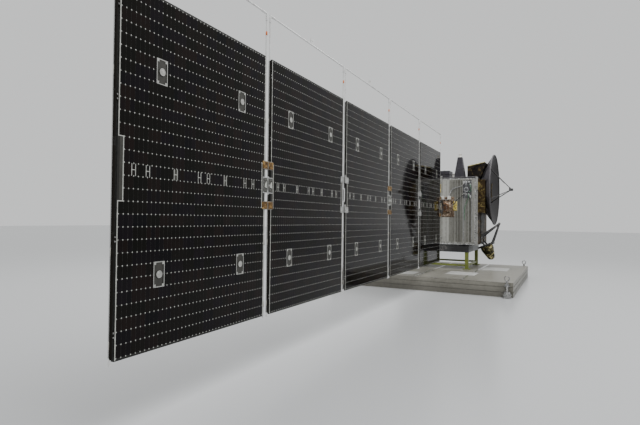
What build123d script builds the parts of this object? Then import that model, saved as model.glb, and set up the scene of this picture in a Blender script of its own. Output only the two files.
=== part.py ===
from build123d import *
import os

# A satellite on its work stand: a closed bus with a fixed dish antenna, ion thrusters and deck
# instruments, and one deployed five-panel solar wing hung from five hoist frames. The far side's
# wing isn't fitted: its drive and hold-down posts stand free. All sizes are in millimetres.
# Frame: Z = 0 is the floor, the origin is under the middle of the bus, +X points to the dish,
# -Y along the deployed (near) wing and +Y to the far side.

# Bus, the closed body
bus_length = 1640.0          # along X, over the end panels
bus_width = 1270.0           # along Y, without the radiators
bus_height = 1450.0          # underside of the bottom deck to the top of the top deck
bus_bottom = 770.0           # underside above the floor
deck_thickness = 20.0
end_panel_thickness = 10.0
corner_post_leg = 46.0
corner_post_thickness = 4.0
radiator_thickness = 8.0
radiator_rib_height = 4.0
radiator_rib_width = 9.0
radiator_rib_pitch = 58.0
radiator_margin = 30.0       # from the radiator's ends to the bus's top and bottom
radiator_side_gap = 18.0     # from the corner posts
radiator_window_gap = 4.0    # round the wing drive
lift_boss_radius = 30.0
lift_boss_height = 24.0
lift_hole_radius = 8.0
lift_inset = 80.0            # lifting points from the deck's edges

# Wing: five equal panels in a row, numbered from the bus outwards
panel_count = 5
panel_width = 1505.0         # along the wing
panel_height = 2270.0
panel_thickness = 24.0
panel_gap = 95.0             # between two panels, the hinge axis in its middle
wing_axis_x = 140.0          # the drive's turning axis
wing_axis_z = 1570.0
hinge_offset = 25.0          # hinge axis from the panel's middle plane
hold_down_spread = 843.4     # between the hold-down points, along the wing
hold_down_levels = (-656.0, 656.0)   # hold-down rows, from the wing axis
pocket_width = 80.0
pocket_height = 154.0
pocket_depth = 2.0
bush_radius = 25.0
bush_height = 5.0

# Hinges, hinge covers and latches between the panels
hinge_levels = (180.0, -172.0)   # middle of each hinge, from the wing axis
hinge_height = 70.0
knuckle_radius = 9.0
middle_knuckle = 24.0            # height of the middle knuckle
knuckle_play = 1.0               # axial gap between knuckles
hinge_pin_radius = 4.0
running_clearance = 0.05
leaf_reach = 60.0                # leaf length on the panel
leaf_thickness = 6.0
leaf_clearance = 12.0            # from the hinge axis to the end of each leaf
cover_reach = 25.0
cover_thickness = 5.0
cover_clearance = 4.0            # from the middle of the gap to each cover
latch_level = 5.0
latch_height = 140.0
latch_reach = 30.0
latch_plate = 4.0
latch_proud = 10.0
latch_clearance = 3.0
latch_jaw = 16.0                 # height of each latch jaw

# Hoist frames, one inverted U of tube round each deployed panel
tube_radius = 8.0
tube_gap = 12.0                  # from the panel's edge to the tube
frame_foot = 18.0                # tube end below the panel
frame_rise = 385.0               # middle of the top bar above the panel
clamp_levels = (980.0, 420.0, -420.0, -980.0)
clamp_height = 46.0
clamp_width = 18.0
lug_width = 60.0
lug_height = 62.0
lug_thickness = 12.0
lug_hole_radius = 8.0
lug_hole_rise = 38.0             # above the middle of the bar

# Wing drives, root hinges and yokes
drive_flange = 300.0
drive_flange_thickness = 14.0
drive_foot_radius = 125.0
drive_neck_radius = 80.0
drive_length = 66.0
drive_gap = 0.3                  # between the drive housing and the turning hub
root_hinge_stand_off = 155.0     # root hinge axis from the bus's side
root_knuckle_radius = 18.0
root_pin_radius = 8.0
root_hinge_height = 120.0
root_middle_knuckle = 56.0
hub_radius = 70.0
hub_thickness = 24.0
hub_lug_thickness = 28.0
yoke_length = 300.0              # root hinge to the first panel's hinge
yoke_rail = 34.0

# Hold-down posts on the bus's far side, where a folded wing would rest
post_foot_width = 34.0
post_foot_thickness = 10.0
post_foot_reach = (45.0, 36.0)   # foot plate below and above the post
post_foot_hold = 110.0           # least length of plate on the bus's side, for posts above the deck
post_radii = (16.0, 11.0)        # tapered tube
post_cup_radius = 20.0
post_cup_thickness = 12.0

# Dish antenna, a prime-focus paraboloid facing +X
dish_radius = 770.0
dish_depth = 252.0
dish_stand_off = 18.0            # vertex from the end panel
dish_axis_z = 1975.0
dish_wall = 14.0
dish_rim_width = 16.0
dish_rim_length = 26.0
dish_hub_radius = 150.0
feed_length = 62.0
feed_radius = 26.0
feed_flare = 18.0
feed_strut_radius = 8.0
feed_strut_foot = 520.0          # radius on the dish where each feed strut stands
cradle_thickness = 150.0         # foil-wrapped walls between the bus and the dish's back
cradle_drop = 60.0               # wall tops below the top deck
cradle_height = 700.0
cradle_reach = 150.0
back_clearance = 2.0
support_start = 270.0            # deck support, from the dish end of the deck
support_half_width = 330.0
support_height = 270.0           # at its inner end
support_crest = 340.0            # at the dish

# Thrusters
thruster_ring_radius = 145.0
thruster_ring_half = 13.0
thruster_out = 85.0              # ring centre beyond the end panel
thruster_drop = 25.0             # ring centre below the bus
thruster_throat = 118.0
truss_radius = 20.0
truss_pad_thickness = 24.0
truss_knob_radius = 28.0
seat_clearance = 0.3             # between a part and what carries it

# Stand and plinth
plinth_length_x = 3400.0
plinth_near = 2480.0             # near edge from the bus's middle plane
plinth_far = 900.0
plinth_height = 250.0
plinth_sheet = 14.0
plinth_groove = 10.0
plinth_groove_levels = (80.0, 170.0)
stand_overhang = 10.0            # stand frame beyond the bus's sides
stand_gap = 30.0                 # stand top to the bus's underside
stand_beam_height = 130.0
stand_beam_width = 90.0
leg_size = 70.0
leg_foot_size = 150.0
leg_foot_thickness = 16.0
tie_level = 330.0
tie_size = 40.0
adapter_radius = 470.0
adapter_lip = 14.0
adapter_wall = 40.0
adapter_drop = 110.0             # length of the adapter skirt inside the stand's ring
jack_inset = 90.0                # jacks in from the plinth's corners
jack_reach = 82.0                # jacks out from the plinth's faces
jack_arm = 40.0
jack_ring_radius = 38.0
jack_ring_wire = 8.0

os.makedirs("parts", exist_ok=True)

# Worked out from the driving dimensions
half_x = bus_length / 2
half_y = bus_width / 2
bus_top = bus_bottom + bus_height
panel_pitch = panel_width + panel_gap
tube_offset = panel_gap / 2 - tube_gap - tube_radius      # tube axis from the hinge axis
root_hinge_reach = half_y + root_hinge_stand_off
first_hinge_reach = root_hinge_reach + yoke_length
dish_vertex_x = half_x + dish_stand_off
dish_rim_x = dish_vertex_x + dish_depth
focus_x = dish_vertex_x + dish_radius ** 2 / (4 * dish_depth)
side_face = half_y + radiator_thickness + radiator_rib_height     # outermost face of a radiator


def write(node, *solids):
    """Write one node, a single solid or several that don't touch, to its own STEP file."""
    shape = solids[0] if len(solids) == 1 else Compound(children=list(solids))
    export_step(shape, f"parts/{node}.step")


def block(x0, x1, y0, y1, z0, z1):
    """A box between two corners, given in either order along each axis."""
    size = (abs(x1 - x0), abs(y1 - y0), abs(z1 - z0))
    return Pos((x0 + x1) / 2, (y0 + y1) / 2, (z0 + z1) / 2) * Box(*size)


def disc(radius, start, length, direction=(0, 0, 1)):
    """A cylinder that starts at a point and runs along a direction."""
    return Solid.make_cylinder(radius, length, Plane(origin=tuple(start), z_dir=direction))


def rod(start, end, radius):
    """A round bar between two points."""
    path = Vector(*end) - Vector(*start)
    return disc(radius, start, path.length, tuple(path))


# Bus: a closed core between two decks, end panels on +X and -X
core_bottom = bus_bottom + deck_thickness
core_top = bus_top - deck_thickness
write("bus_body", block(-half_x + end_panel_thickness, half_x - end_panel_thickness,
                        -half_y, half_y, core_bottom, core_top))
write("bottom_deck", block(-half_x, half_x, -half_y, half_y, bus_bottom, core_bottom))
write("end_panels", *[block(side * (half_x - end_panel_thickness), side * half_x,
                            -half_y, half_y, core_bottom, core_top) for side in (-1, 1)])

# Top deck with a bored lifting boss near each corner
top_deck = block(-half_x, half_x, -half_y, half_y, core_top, bus_top)
for sx in (-1, 1):
    for sy in (-1, 1):
        spot = (sx * (half_x - lift_inset), sy * (half_y - lift_inset))
        top_deck += disc(lift_boss_radius, (*spot, core_top), deck_thickness + lift_boss_height)
        top_deck -= disc(lift_hole_radius, (*spot, core_top), deck_thickness + lift_boss_height)
write("top_deck", top_deck.solid())

# Corner posts: a bright angle down each upright edge of the bus
corner_posts = []
for sx in (-1, 1):
    for sy in (-1, 1):
        outer_x = sx * (half_x + corner_post_thickness)
        outer_y = sy * (half_y + corner_post_thickness)
        angle = block(outer_x, outer_x - sx * corner_post_leg, outer_y, outer_y - sy * corner_post_leg,
                      bus_bottom, bus_top)
        angle -= block(-half_x, half_x, -half_y, half_y, bus_bottom, bus_top)
        corner_posts.append(angle.solid())
write("corner_posts", *corner_posts)

# Radiators: a plate with upright heat-pipe ribs on each broad side, cut out round the wing drive
radiator_half = half_x + corner_post_thickness - corner_post_leg - radiator_side_gap
radiator_bottom = bus_bottom + radiator_margin
radiator_top = bus_top - radiator_margin
rib_count = int((2 * radiator_half - radiator_rib_width) // radiator_rib_pitch) + 1
window_half = drive_flange / 2 + radiator_window_gap
radiators = []
for side in (-1, 1):
    plate_face = side * (half_y + radiator_thickness)
    radiator = block(-radiator_half, radiator_half, side * half_y, plate_face, radiator_bottom, radiator_top)
    for index in range(rib_count):
        middle = (index - (rib_count - 1) / 2) * radiator_rib_pitch
        radiator += block(middle - radiator_rib_width / 2, middle + radiator_rib_width / 2,
                          plate_face, side * side_face, radiator_bottom, radiator_top)
    radiator -= block(wing_axis_x - window_half, wing_axis_x + window_half, 0, side * 2 * half_y,
                      wing_axis_z - window_half, wing_axis_z + window_half)
    radiators.append(radiator.solid())
write("radiators", *radiators)


# Wing pieces are made as they lie deployed on the near side: u runs out along the wing from
# the bus's middle plane (Y = -u), v is across it (X = wing_axis_x + v), z is from the wing axis
def wing_block(u0, u1, v0, v1, z0, z1):
    return block(wing_axis_x + v0, wing_axis_x + v1, -u0, -u1, wing_axis_z + z0, wing_axis_z + z1)


def wing_barrel(u, v, z0, z1, radius):
    """An upright cylinder on a hinge axis."""
    return disc(radius, (wing_axis_x + v, -u, wing_axis_z + z0), z1 - z0)


def hinge_reach(number):
    """Distance out to the hinge line on the bus side of a panel."""
    return first_hinge_reach + (number - 1) * panel_pitch


def hinge_side(number):
    """Hinge lines lie behind (-1) and in front (+1) of the wing by turns."""
    return -1 if number % 2 == 1 else 1


def hinge_half(number, inboard):
    """The leaves, knuckles and pins that one panel or yoke carries at one hinge line.

    The inboard body carries the middle knuckles, the outboard one the outer knuckles and the pins.
    """
    reach = hinge_reach(number)
    side = hinge_side(number)
    out = -1 if inboard else 1       # from the hinge axis towards the piece's own panel
    face = side * panel_thickness / 2
    top = face + side * leaf_thickness
    axis_v = side * hinge_offset
    near = reach + out * leaf_clearance
    far = reach + out * (panel_gap / 2 + leaf_reach)
    solids = []
    for level in hinge_levels:
        low = level - hinge_height / 2
        high = level + hinge_height / 2
        leaf = wing_block(near, far, face, top, low, high)
        spans = [(level - middle_knuckle / 2, level + middle_knuckle / 2)]
        if not inboard:
            spans = [(low, spans[0][0] - knuckle_play), (spans[0][1] + knuckle_play, high)]
        for z0, z1 in spans:
            leaf += wing_block(reach, near, face, top, z0, z1)
            leaf += wing_barrel(reach, axis_v, z0, z1, knuckle_radius)
        if inboard:
            leaf -= wing_barrel(reach, axis_v, low, high, hinge_pin_radius + running_clearance)
        else:
            leaf += wing_barrel(reach, axis_v, low, high, hinge_pin_radius)
        solids.append(leaf.solid())
    return solids


def hinge_covers(number, inboard):
    """The covers of the hinge roots on the face away from the hinge axis, over the frame tubes."""
    side = -hinge_side(number)
    out = -1 if inboard else 1
    face = side * panel_thickness / 2
    near = hinge_reach(number) + out * cover_clearance
    far = hinge_reach(number) + out * (panel_gap / 2 + cover_reach)
    return [wing_block(near, far, face, face + side * cover_thickness,
                       level - hinge_height / 2, level + hinge_height / 2) for level in hinge_levels]


def latch_half(number, inboard):
    """Half of the latch that holds a hinge line open: a plate with one jaw, or with the two that
    it closes between, on the face away from the hinge axis."""
    side = -hinge_side(number)
    out = -1 if inboard else 1
    face = side * panel_thickness / 2
    near = hinge_reach(number) + out * latch_clearance
    far = hinge_reach(number) + out * (panel_gap / 2 + latch_reach)
    half = latch_height / 2
    plate = wing_block(near, far, face, face + side * latch_plate, latch_level - half, latch_level + half)
    levels = (latch_level,) if inboard else (latch_level - half + latch_jaw, latch_level + half - latch_jaw)
    for level in levels:
        plate += wing_block(near, near + out * latch_jaw, face, face + side * latch_proud,
                            level - latch_jaw / 2, level + latch_jaw / 2)
    return [plate.solid()]


def line_half(line, inboard):
    """All that one side of a hinge line carries, as solids that don't touch."""
    return hinge_half(line, inboard) + hinge_covers(line, inboard) + latch_half(line, inboard)


def fittings(number):
    """Everything that joins panel `number` to its neighbours."""
    solids = line_half(number, False)
    if number < panel_count:
        solids += line_half(number + 1, True)
    return solids


def hold_down_reaches(number):
    """The two distances out at which a panel is held down when folded."""
    middle = hinge_reach(number) + panel_pitch / 2
    return middle - hold_down_spread / 2, middle + hold_down_spread / 2


def solar_panel(number):
    """A flat sandwich panel with four hold-down pockets on its cell face, a round bush in each."""
    inner = hinge_reach(number) + panel_gap / 2
    face = panel_thickness / 2
    floor = face - pocket_depth
    panel = wing_block(inner, inner + panel_width, -face, face, -panel_height / 2, panel_height / 2)
    for u in hold_down_reaches(number):
        for z in hold_down_levels:
            panel -= wing_block(u - pocket_width / 2, u + pocket_width / 2, floor, face,
                                z - pocket_height / 2, z + pocket_height / 2)
            panel += disc(bush_radius, (wing_axis_x + floor, -u, wing_axis_z + z), bush_height, (1, 0, 0))
    return panel.solid()


def hoist_frame(number):
    """An inverted U of tube in the gaps beside one panel, clamped to its edges, with a lifting lug."""
    inner = hinge_reach(number) + tube_offset
    outer = hinge_reach(number + 1) - tube_offset
    foot = wing_axis_z - panel_height / 2 - frame_foot
    head = wing_axis_z + panel_height / 2 + frame_rise
    corners = [(wing_axis_x, -inner, foot), (wing_axis_x, -inner, head),
               (wing_axis_x, -outer, head), (wing_axis_x, -outer, foot)]
    section = Plane(origin=corners[0], z_dir=(0, 0, 1)) * Circle(tube_radius)
    frame = sweep(section, path=Wire(Polyline(*corners).edges()), transition=Transition.RIGHT)
    for level in clamp_levels:
        for tube, out in ((inner, 1), (outer, -1)):
            frame += wing_block(tube, tube + out * (tube_radius + tube_gap), -clamp_width / 2, clamp_width / 2,
                                level - clamp_height / 2, level + clamp_height / 2)
    middle = (inner + outer) / 2
    bar = head - wing_axis_z
    frame += wing_block(middle - lug_width / 2, middle + lug_width / 2, -lug_thickness / 2, lug_thickness / 2,
                        bar, bar + lug_height)
    frame -= disc(lug_hole_radius, (wing_axis_x - lug_thickness, -middle, head + lug_hole_rise),
                  2 * lug_thickness, (1, 0, 0))
    return frame.solid()


def wing_yoke():
    """The short arm between the root hinge and the first panel: a plate frame with one window,
    and two knuckles and the pin of the root hinge."""
    face = panel_thickness / 2
    start = root_hinge_reach + root_knuckle_radius + 6
    end = first_hinge_reach - panel_gap / 2
    half = root_hinge_height / 2
    top = hinge_levels[0] + hinge_height / 2
    bottom = hinge_levels[1] - hinge_height / 2
    outline = Polyline((start, half), (end, top), (end, bottom), (start, -half), close=True)
    inset = yoke_rail * 1.3
    window = Polyline((start + inset, half - yoke_rail), (end - yoke_rail, top - yoke_rail * 1.7),
                      (end - yoke_rail, bottom + yoke_rail * 1.7), (start + inset, -half + yoke_rail), close=True)
    plane = Plane(origin=(wing_axis_x - face, 0, wing_axis_z), x_dir=(0, -1, 0), z_dir=(-1, 0, 0))
    yoke = extrude(plane * (make_face(outline) - make_face(window)), amount=-panel_thickness)
    gap_start = root_middle_knuckle / 2 + knuckle_play
    for z0, z1 in ((-half, -gap_start), (gap_start, half)):
        yoke += wing_barrel(root_hinge_reach, 0, z0, z1, root_knuckle_radius)
        yoke += wing_block(root_hinge_reach, start, -face, face, z0, z1)
    yoke += wing_barrel(root_hinge_reach, 0, -half, half, root_pin_radius)
    return yoke.solid()


def drive_hub():
    """The turning disc of a wing drive, with the lug and middle knuckle of the root hinge."""
    start = half_y + drive_flange_thickness + drive_length + drive_gap
    half = root_middle_knuckle / 2
    hub = disc(hub_radius, (wing_axis_x, -start, wing_axis_z), hub_thickness, (0, -1, 0))
    hub += wing_block(start + hub_thickness / 2, root_hinge_reach, -hub_lug_thickness / 2,
                      hub_lug_thickness / 2, -half, half)
    hub += wing_barrel(root_hinge_reach, 0, -half, half, root_knuckle_radius)
    hub -= wing_barrel(root_hinge_reach, 0, -half - knuckle_play, half + knuckle_play,
                       root_pin_radius + running_clearance)
    return hub.solid()


def drive_housing():
    """The fixed motor housing of a wing drive: a square flange, a cone and a neck."""
    flange_half = drive_flange / 2
    face = half_y + drive_flange_thickness
    housing = wing_block(half_y, face, -flange_half, flange_half, -flange_half, flange_half)
    foot = Plane(origin=(wing_axis_x, -face, wing_axis_z), z_dir=(0, -1, 0))
    housing += Solid.make_cone(drive_foot_radius, drive_neck_radius, drive_length / 2, foot)
    housing += disc(drive_neck_radius, foot.origin, drive_length, (0, -1, 0))
    return housing.solid()


# Near wing: deployed, each panel hung in its own hoist frame
write("near_drive_housing", drive_housing())
write("near_drive_hub", drive_hub())
write("near_yoke", wing_yoke())
write("near_yoke_fittings", *line_half(1, True))
for number in range(1, panel_count + 1):
    write(f"near_panel_{number}", solar_panel(number))
    write(f"near_fittings_{number}", *fittings(number))
    write(f"near_frame_{number}", hoist_frame(number))

# Far side: the wing's drive alone
write("far_drive_housing", mirror(drive_housing(), about=Plane.XZ))
write("far_drive_hub", mirror(drive_hub(), about=Plane.XZ))

# Hold-down posts: foot plate, tapered tube and cup, out to where the back of a folded first panel
# would lie. The inner posts stand on the radiator's ribs, the outer ones on the corner posts.
fold_face = root_hinge_reach + 2 * hinge_offset - panel_thickness / 2
fold_x = wing_axis_x + yoke_length
posts = []
for reach in hold_down_reaches(1):
    x = fold_x - (reach - first_hinge_reach)
    seat = side_face if abs(x) < radiator_half else half_y + corner_post_thickness
    foot_face = seat + post_foot_thickness
    cup_start = fold_face - seat_clearance - post_cup_thickness
    for level in hold_down_levels:
        z = wing_axis_z + level
        foot_low = min(z - post_foot_reach[0], bus_top - post_foot_hold)
        post = block(x - post_foot_width / 2, x + post_foot_width / 2, seat, foot_face,
                     foot_low, z + post_foot_reach[1])
        tube = Plane(origin=(x, foot_face, z), z_dir=(0, 1, 0))
        post += Solid.make_cone(*post_radii, cup_start - foot_face, tube)
        post += disc(post_cup_radius, (x, cup_start, z), post_cup_thickness, (0, 1, 0))
        posts.append(post.solid())
write("hold_down_posts", *posts)


# Dish antenna: a paraboloid shell with a stiff rim and a hub on its back
def dish_x(radius):
    """Place along X of the inner (front) surface at a radius."""
    return dish_vertex_x + dish_depth * (radius / dish_radius) ** 2


def dish_curve(offset, outer_radius):
    """The paraboloid's section as two tangent arcs, square to the axis at the vertex."""
    middle = outer_radius / 2
    first = TangentArc((dish_x(0) - offset, 0), (dish_x(middle) - offset, middle), tangent=(0, 1))
    second = TangentArc(first @ 1, (dish_x(outer_radius) - offset, outer_radius), tangent=first % 1)
    return [first, second]


def revolved(edges):
    """A closed section turned about the dish's axis."""
    return Pos(0, 0, dish_axis_z) * revolve(Plane.XY * make_face(Wire(edges)), axis=Axis.X)


rim_inner = dish_radius - dish_rim_width
rim_back = dish_rim_x - dish_rim_length
front = dish_curve(0, rim_inner)
back = dish_curve(dish_wall, rim_inner)
rim = Polyline(front[1] @ 1, (dish_rim_x, rim_inner), (dish_rim_x, dish_radius), (rim_back, dish_radius), back[1] @ 1)
dish = revolved([*front, *rim.edges(), *back, Line(back[0] @ 0, front[0] @ 0)])
hub_length = dish_stand_off - dish_wall / 2
dish += disc(dish_hub_radius, (half_x, 0, dish_axis_z), hub_length, (1, 0, 0))
write("dish_reflector", dish.solid())

# Feed: a small horn at the focus on three struts that stand on the reflector
feed_back_x = focus_x - feed_length / 2
feed = disc(feed_radius, (feed_back_x, 0, dish_axis_z), feed_length, (1, 0, 0))
feed += Solid.make_cone(feed_radius, feed_radius + feed_flare, feed_flare, Plane(
    origin=(feed_back_x, 0, dish_axis_z), z_dir=(-1, 0, 0)))
for angle in (90, 210, 330):
    foot = Vector(0, feed_strut_foot, 0).rotate(Axis.X, angle) + Vector(
        dish_x(feed_strut_foot) - dish_wall / 2, 0, dish_axis_z)
    feed += rod(foot, (focus_x, 0, dish_axis_z), feed_strut_radius)
write("dish_feed", (feed - dish).solid())

# Dish cradle: a foil-wrapped wall near each side of the end panel, its edge cut to the dish's back
keep_out_back = dish_curve(dish_wall + back_clearance, rim_inner)
keep_out = revolved([*keep_out_back, Line(keep_out_back[1] @ 1, (dish_rim_x, rim_inner)),
                     Line((dish_rim_x, rim_inner), (dish_rim_x, 0)), Line((dish_rim_x, 0), keep_out_back[0] @ 0)])
cradle_top = bus_top - cradle_drop
cradles = []
for side in (-1, 1):
    wall = block(half_x, half_x + cradle_reach, side * half_y, side * (half_y - cradle_thickness),
                 cradle_top - cradle_height, cradle_top)
    wall -= block(half_x - 1, half_x + corner_post_thickness, side * half_y,
                  side * (half_y + corner_post_thickness - corner_post_leg), bus_bottom, bus_top)
    cradles.append((wall - keep_out).solid())
write("dish_cradle", *cradles)

# Dish support: the blanketed truss on the deck's edge that rises to the dish's upper back
support_x = half_x - support_start
support = Polyline((support_x, bus_top), (support_x, bus_top + support_height),
                   (half_x + 105, bus_top + support_crest), (half_x + 125, bus_top + support_crest - 30),
                   (half_x + 6, bus_top), close=True)
support_plane = Plane(origin=(0, support_half_width, 0), x_dir=(1, 0, 0), z_dir=(0, -1, 0))
write("dish_support", extrude(support_plane * make_face(support), amount=2 * support_half_width).solid())

# Instrument shroud: a black truncated pyramid with a small round cap
shroud_base = 220.0
shroud_crown = 88.0
shroud_height = 470.0
shroud_cap_radius = 30.0
shroud_cap_height = 80.0
shroud_spot = (half_x - 425.0, -half_y + 305.0)
shroud = loft([Pos(*shroud_spot, bus_top) * Rectangle(shroud_base, shroud_base),
               Pos(*shroud_spot, bus_top + shroud_height) * Rectangle(shroud_crown, shroud_crown)])
write("pyramid_shroud", shroud.solid())
write("shroud_cap", disc(shroud_cap_radius, (*shroud_spot, bus_top + shroud_height), shroud_cap_height))

# Flat instrument in two slabs with a slot between them, on an inner core
slab_length = 545.0
slab_width = 340.0
slab_height = 76.0
slab_slot = 14.0
slab_set_back = 14.0
slab_gap = 85.0              # to the shroud's base
slab_spot = (shroud_spot[0] - shroud_base / 2 - slab_gap - slab_length / 2, -half_y + 285.0)
instrument = None
for low in (0.0, slab_height + slab_slot):
    slab = block(slab_spot[0] - slab_length / 2, slab_spot[0] + slab_length / 2,
                 slab_spot[1] - slab_width / 2, slab_spot[1] + slab_width / 2,
                 bus_top + low, bus_top + low + slab_height)
    instrument = slab if instrument is None else instrument + slab
instrument += block(slab_spot[0] - slab_length / 2 + slab_set_back, slab_spot[0] + slab_length / 2 - slab_set_back,
                    slab_spot[1] - slab_width / 2 + slab_set_back, slab_spot[1] + slab_width / 2 - slab_set_back,
                    bus_top, bus_top + 2 * slab_height)
write("instrument_box", instrument.solid())

# Deck cameras: a square body with a flared, hollow baffle
camera_body = (180.0, 160.0, 150.0)
baffle_radii = (62.0, 88.0)
baffle_height = 220.0
baffle_wall = 8.0
camera_spots = ((-half_x + 260.0, 60.0), (-half_x + 260.0, 340.0))
cameras = []
for x, y in camera_spots:
    top = bus_top + camera_body[2]
    camera = block(x - camera_body[0] / 2, x + camera_body[0] / 2, y - camera_body[1] / 2,
                   y + camera_body[1] / 2, bus_top, top)
    camera += Pos(x, y, top + baffle_height / 2) * Cone(*baffle_radii, baffle_height)
    camera -= Pos(x, y, top + baffle_height / 2 + baffle_wall) * Cone(
        baffle_radii[0] - baffle_wall, baffle_radii[1] - baffle_wall, baffle_height)
    cameras.append(camera.solid())
write("deck_cameras", *cameras)

# Deck antenna: a small flared horn on a drum
antenna_spot = (60.0, half_y - 255.0)
antenna_drum = (34.0, 80.0)
antenna_horn = (70.0, 100.0)
antenna = disc(antenna_drum[0], (*antenna_spot, bus_top), antenna_drum[1])
antenna += Pos(*antenna_spot, bus_top + antenna_drum[1] + antenna_horn[1] / 2) * Cone(
    antenna_drum[0], *antenna_horn)
write("deck_antenna", antenna.solid())

# Connector bracket at the top of the near side's dish end, two rows of sockets on it and a coiled
# harness held in front
bracket_size = (180.0, 380.0)
bracket_thickness = 14.0
bracket_spot = (half_x - 210.0, bus_top - 260.0)
coil_radius = 42.0
coil_wire = 12.0
coil_drop = 10.0
socket_radius = 13.0
socket_length = 22.0
socket_spots = ((-62.0, 150.0), (-14.0, 150.0), (34.0, 150.0), (66.0, 96.0), (-62.0, -96.0), (-14.0, -110.0),
                (34.0, -110.0), (66.0, -150.0))
bracket = block(bracket_spot[0] - bracket_size[0] / 2, bracket_spot[0] + bracket_size[0] / 2,
                -side_face, -side_face - bracket_thickness,
                bracket_spot[1] - bracket_size[1] / 2, bracket_spot[1] + bracket_size[1] / 2)
for dx, dz in socket_spots:
    bracket += disc(socket_radius, (bracket_spot[0] + dx, -side_face - bracket_thickness / 2, bracket_spot[1] + dz),
                    bracket_thickness / 2 + socket_length, (0, -1, 0))
write("connector_bracket", bracket.solid())
coil_plane = Plane(origin=(bracket_spot[0] - 20.0, -side_face - bracket_thickness - coil_wire - seat_clearance,
                           bracket_spot[1] - coil_drop), z_dir=(0, -1, 0))
write("harness_coil", coil_plane * Torus(coil_radius, coil_wire))

# Junction boxes: two white boxes over the wing drive
junction_depth = 60.0
junction_rows = ((60.0, 130.0), (205.0, 270.0))      # start and end along X
junction_rise = 175.0
junction_height = 70.0
write("junction_boxes", *[block(x0, x1, -side_face, -side_face - junction_depth,
                                wing_axis_z + junction_rise, wing_axis_z + junction_rise + junction_height)
                          for x0, x1 in junction_rows])

# Thrusters: a foil-wrapped bell on a truss at each end of the bus, pointing down and outwards
thruster_ring = Vector(half_x + thruster_out, 0, bus_bottom - thruster_drop)
thruster_axis = Vector(0.4, 0, -0.9165)
bell_profile = ((50.0, 132.0), (95.0, 127.0), (235.0, 86.0), (285.0, 70.0))    # distance, radius
bell_tip = 335.0
throat_depth = 22.0


def thruster():
    """The front bell: a ring with a hollow throat, a foil skirt, a cone and a rounded tip."""
    last_distance, last_radius = bell_profile[-1]
    outline = Polyline((throat_depth, 0), (throat_depth, thruster_throat), (-thruster_ring_half, thruster_throat),
                       (-thruster_ring_half, thruster_ring_radius), (thruster_ring_half, thruster_ring_radius),
                       (thruster_ring_half, bell_profile[0][1]), *bell_profile)
    tip = TangentArc((bell_tip, 0), (last_distance, last_radius), tangent=(0, 1))
    section = make_face(Wire([*outline.edges(), tip, Line((bell_tip, 0), (throat_depth, 0))]))
    bell = revolve(Plane.XY * section, axis=Axis.X)
    return (Plane(origin=tuple(thruster_ring), x_dir=tuple(thruster_axis), z_dir=(0, 1, 0)) * bell).solid()


def strut(start, end):
    """A truss strut whose ends stop inside the pad and the balls that it joins."""
    along = (end - start).normalized()
    inset = along * truss_radius / 2
    return rod(start + inset, end - inset, truss_radius)


def thruster_truss():
    """Round struts from pads on the end panel out to the knob above the bell, and a hoop that
    carries the bell's ring. Each strut meets the hoop in a small ball, clear of the ring."""
    knob = Vector(half_x + 360, 0, bus_bottom + 458)
    ball_radius = truss_radius * 1.5
    hoop = Plane(origin=tuple(thruster_ring), z_dir=thruster_axis) * Torus(
        thruster_ring_radius + truss_radius + seat_clearance, truss_radius)
    reach = thruster_ring_radius + ball_radius + seat_clearance
    outward = Vector(-thruster_axis.Z, 0, thruster_axis.X)
    pieces = [Pos(*knob) * Sphere(truss_knob_radius)]
    for sy in (-1, 1):
        high = Vector(half_x + truss_pad_thickness / 2, sy * 210, bus_bottom + 180)
        low = Vector(half_x + truss_pad_thickness / 2, sy * 190, bus_bottom + 70)
        outer = thruster_ring + (outward * 0.866 + Vector(0, sy * 0.5, 0)) * reach
        side = thruster_ring + Vector(0, sy, 0) * reach
        pieces += [strut(high, knob), strut(knob, outer), strut(low, side)]
        pieces += [Pos(*point) * Rot(0, 90, 0) * Cylinder(truss_radius * 2.4, truss_pad_thickness)
                   for point in (high, low)]
        pieces += [Pos(*point) * Sphere(ball_radius) for point in (outer, side)]
    return hoop.fuse(*[piece.solid() for piece in pieces])


bell = thruster()
truss = thruster_truss()
write("thrusters", bell, mirror(bell, about=Plane.YZ))
write("thruster_trusses", truss, mirror(truss, about=Plane.YZ))

# Adapter: the lipped round skirt under the bus that drops into the stand's ring
stand_top = bus_bottom - stand_gap
adapter = disc(adapter_radius + adapter_lip, (0, 0, stand_top), stand_gap)
adapter += disc(adapter_radius, (0, 0, stand_top - adapter_drop), adapter_drop + stand_gap)
adapter -= disc(adapter_radius - adapter_wall, (0, 0, stand_top - adapter_drop), adapter_drop + stand_gap)
write("adapter_ring", adapter.solid())

# Stand: a square frame of box beams with a bored ring between them
stand_half = half_y + stand_overhang
stand_bottom = stand_top - stand_beam_height
beam_inner = stand_half - stand_beam_width
stand = block(-stand_half, stand_half, -stand_half, stand_half, stand_bottom, stand_top)
stand -= block(-beam_inner, beam_inner, -beam_inner, beam_inner, stand_bottom, stand_top)
stand += disc(beam_inner + stand_beam_width / 2, (0, 0, stand_bottom), stand_beam_height)
stand -= disc(adapter_radius + 1, (0, 0, stand_bottom), stand_beam_height)
write("stand_ring", stand.solid())

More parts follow.
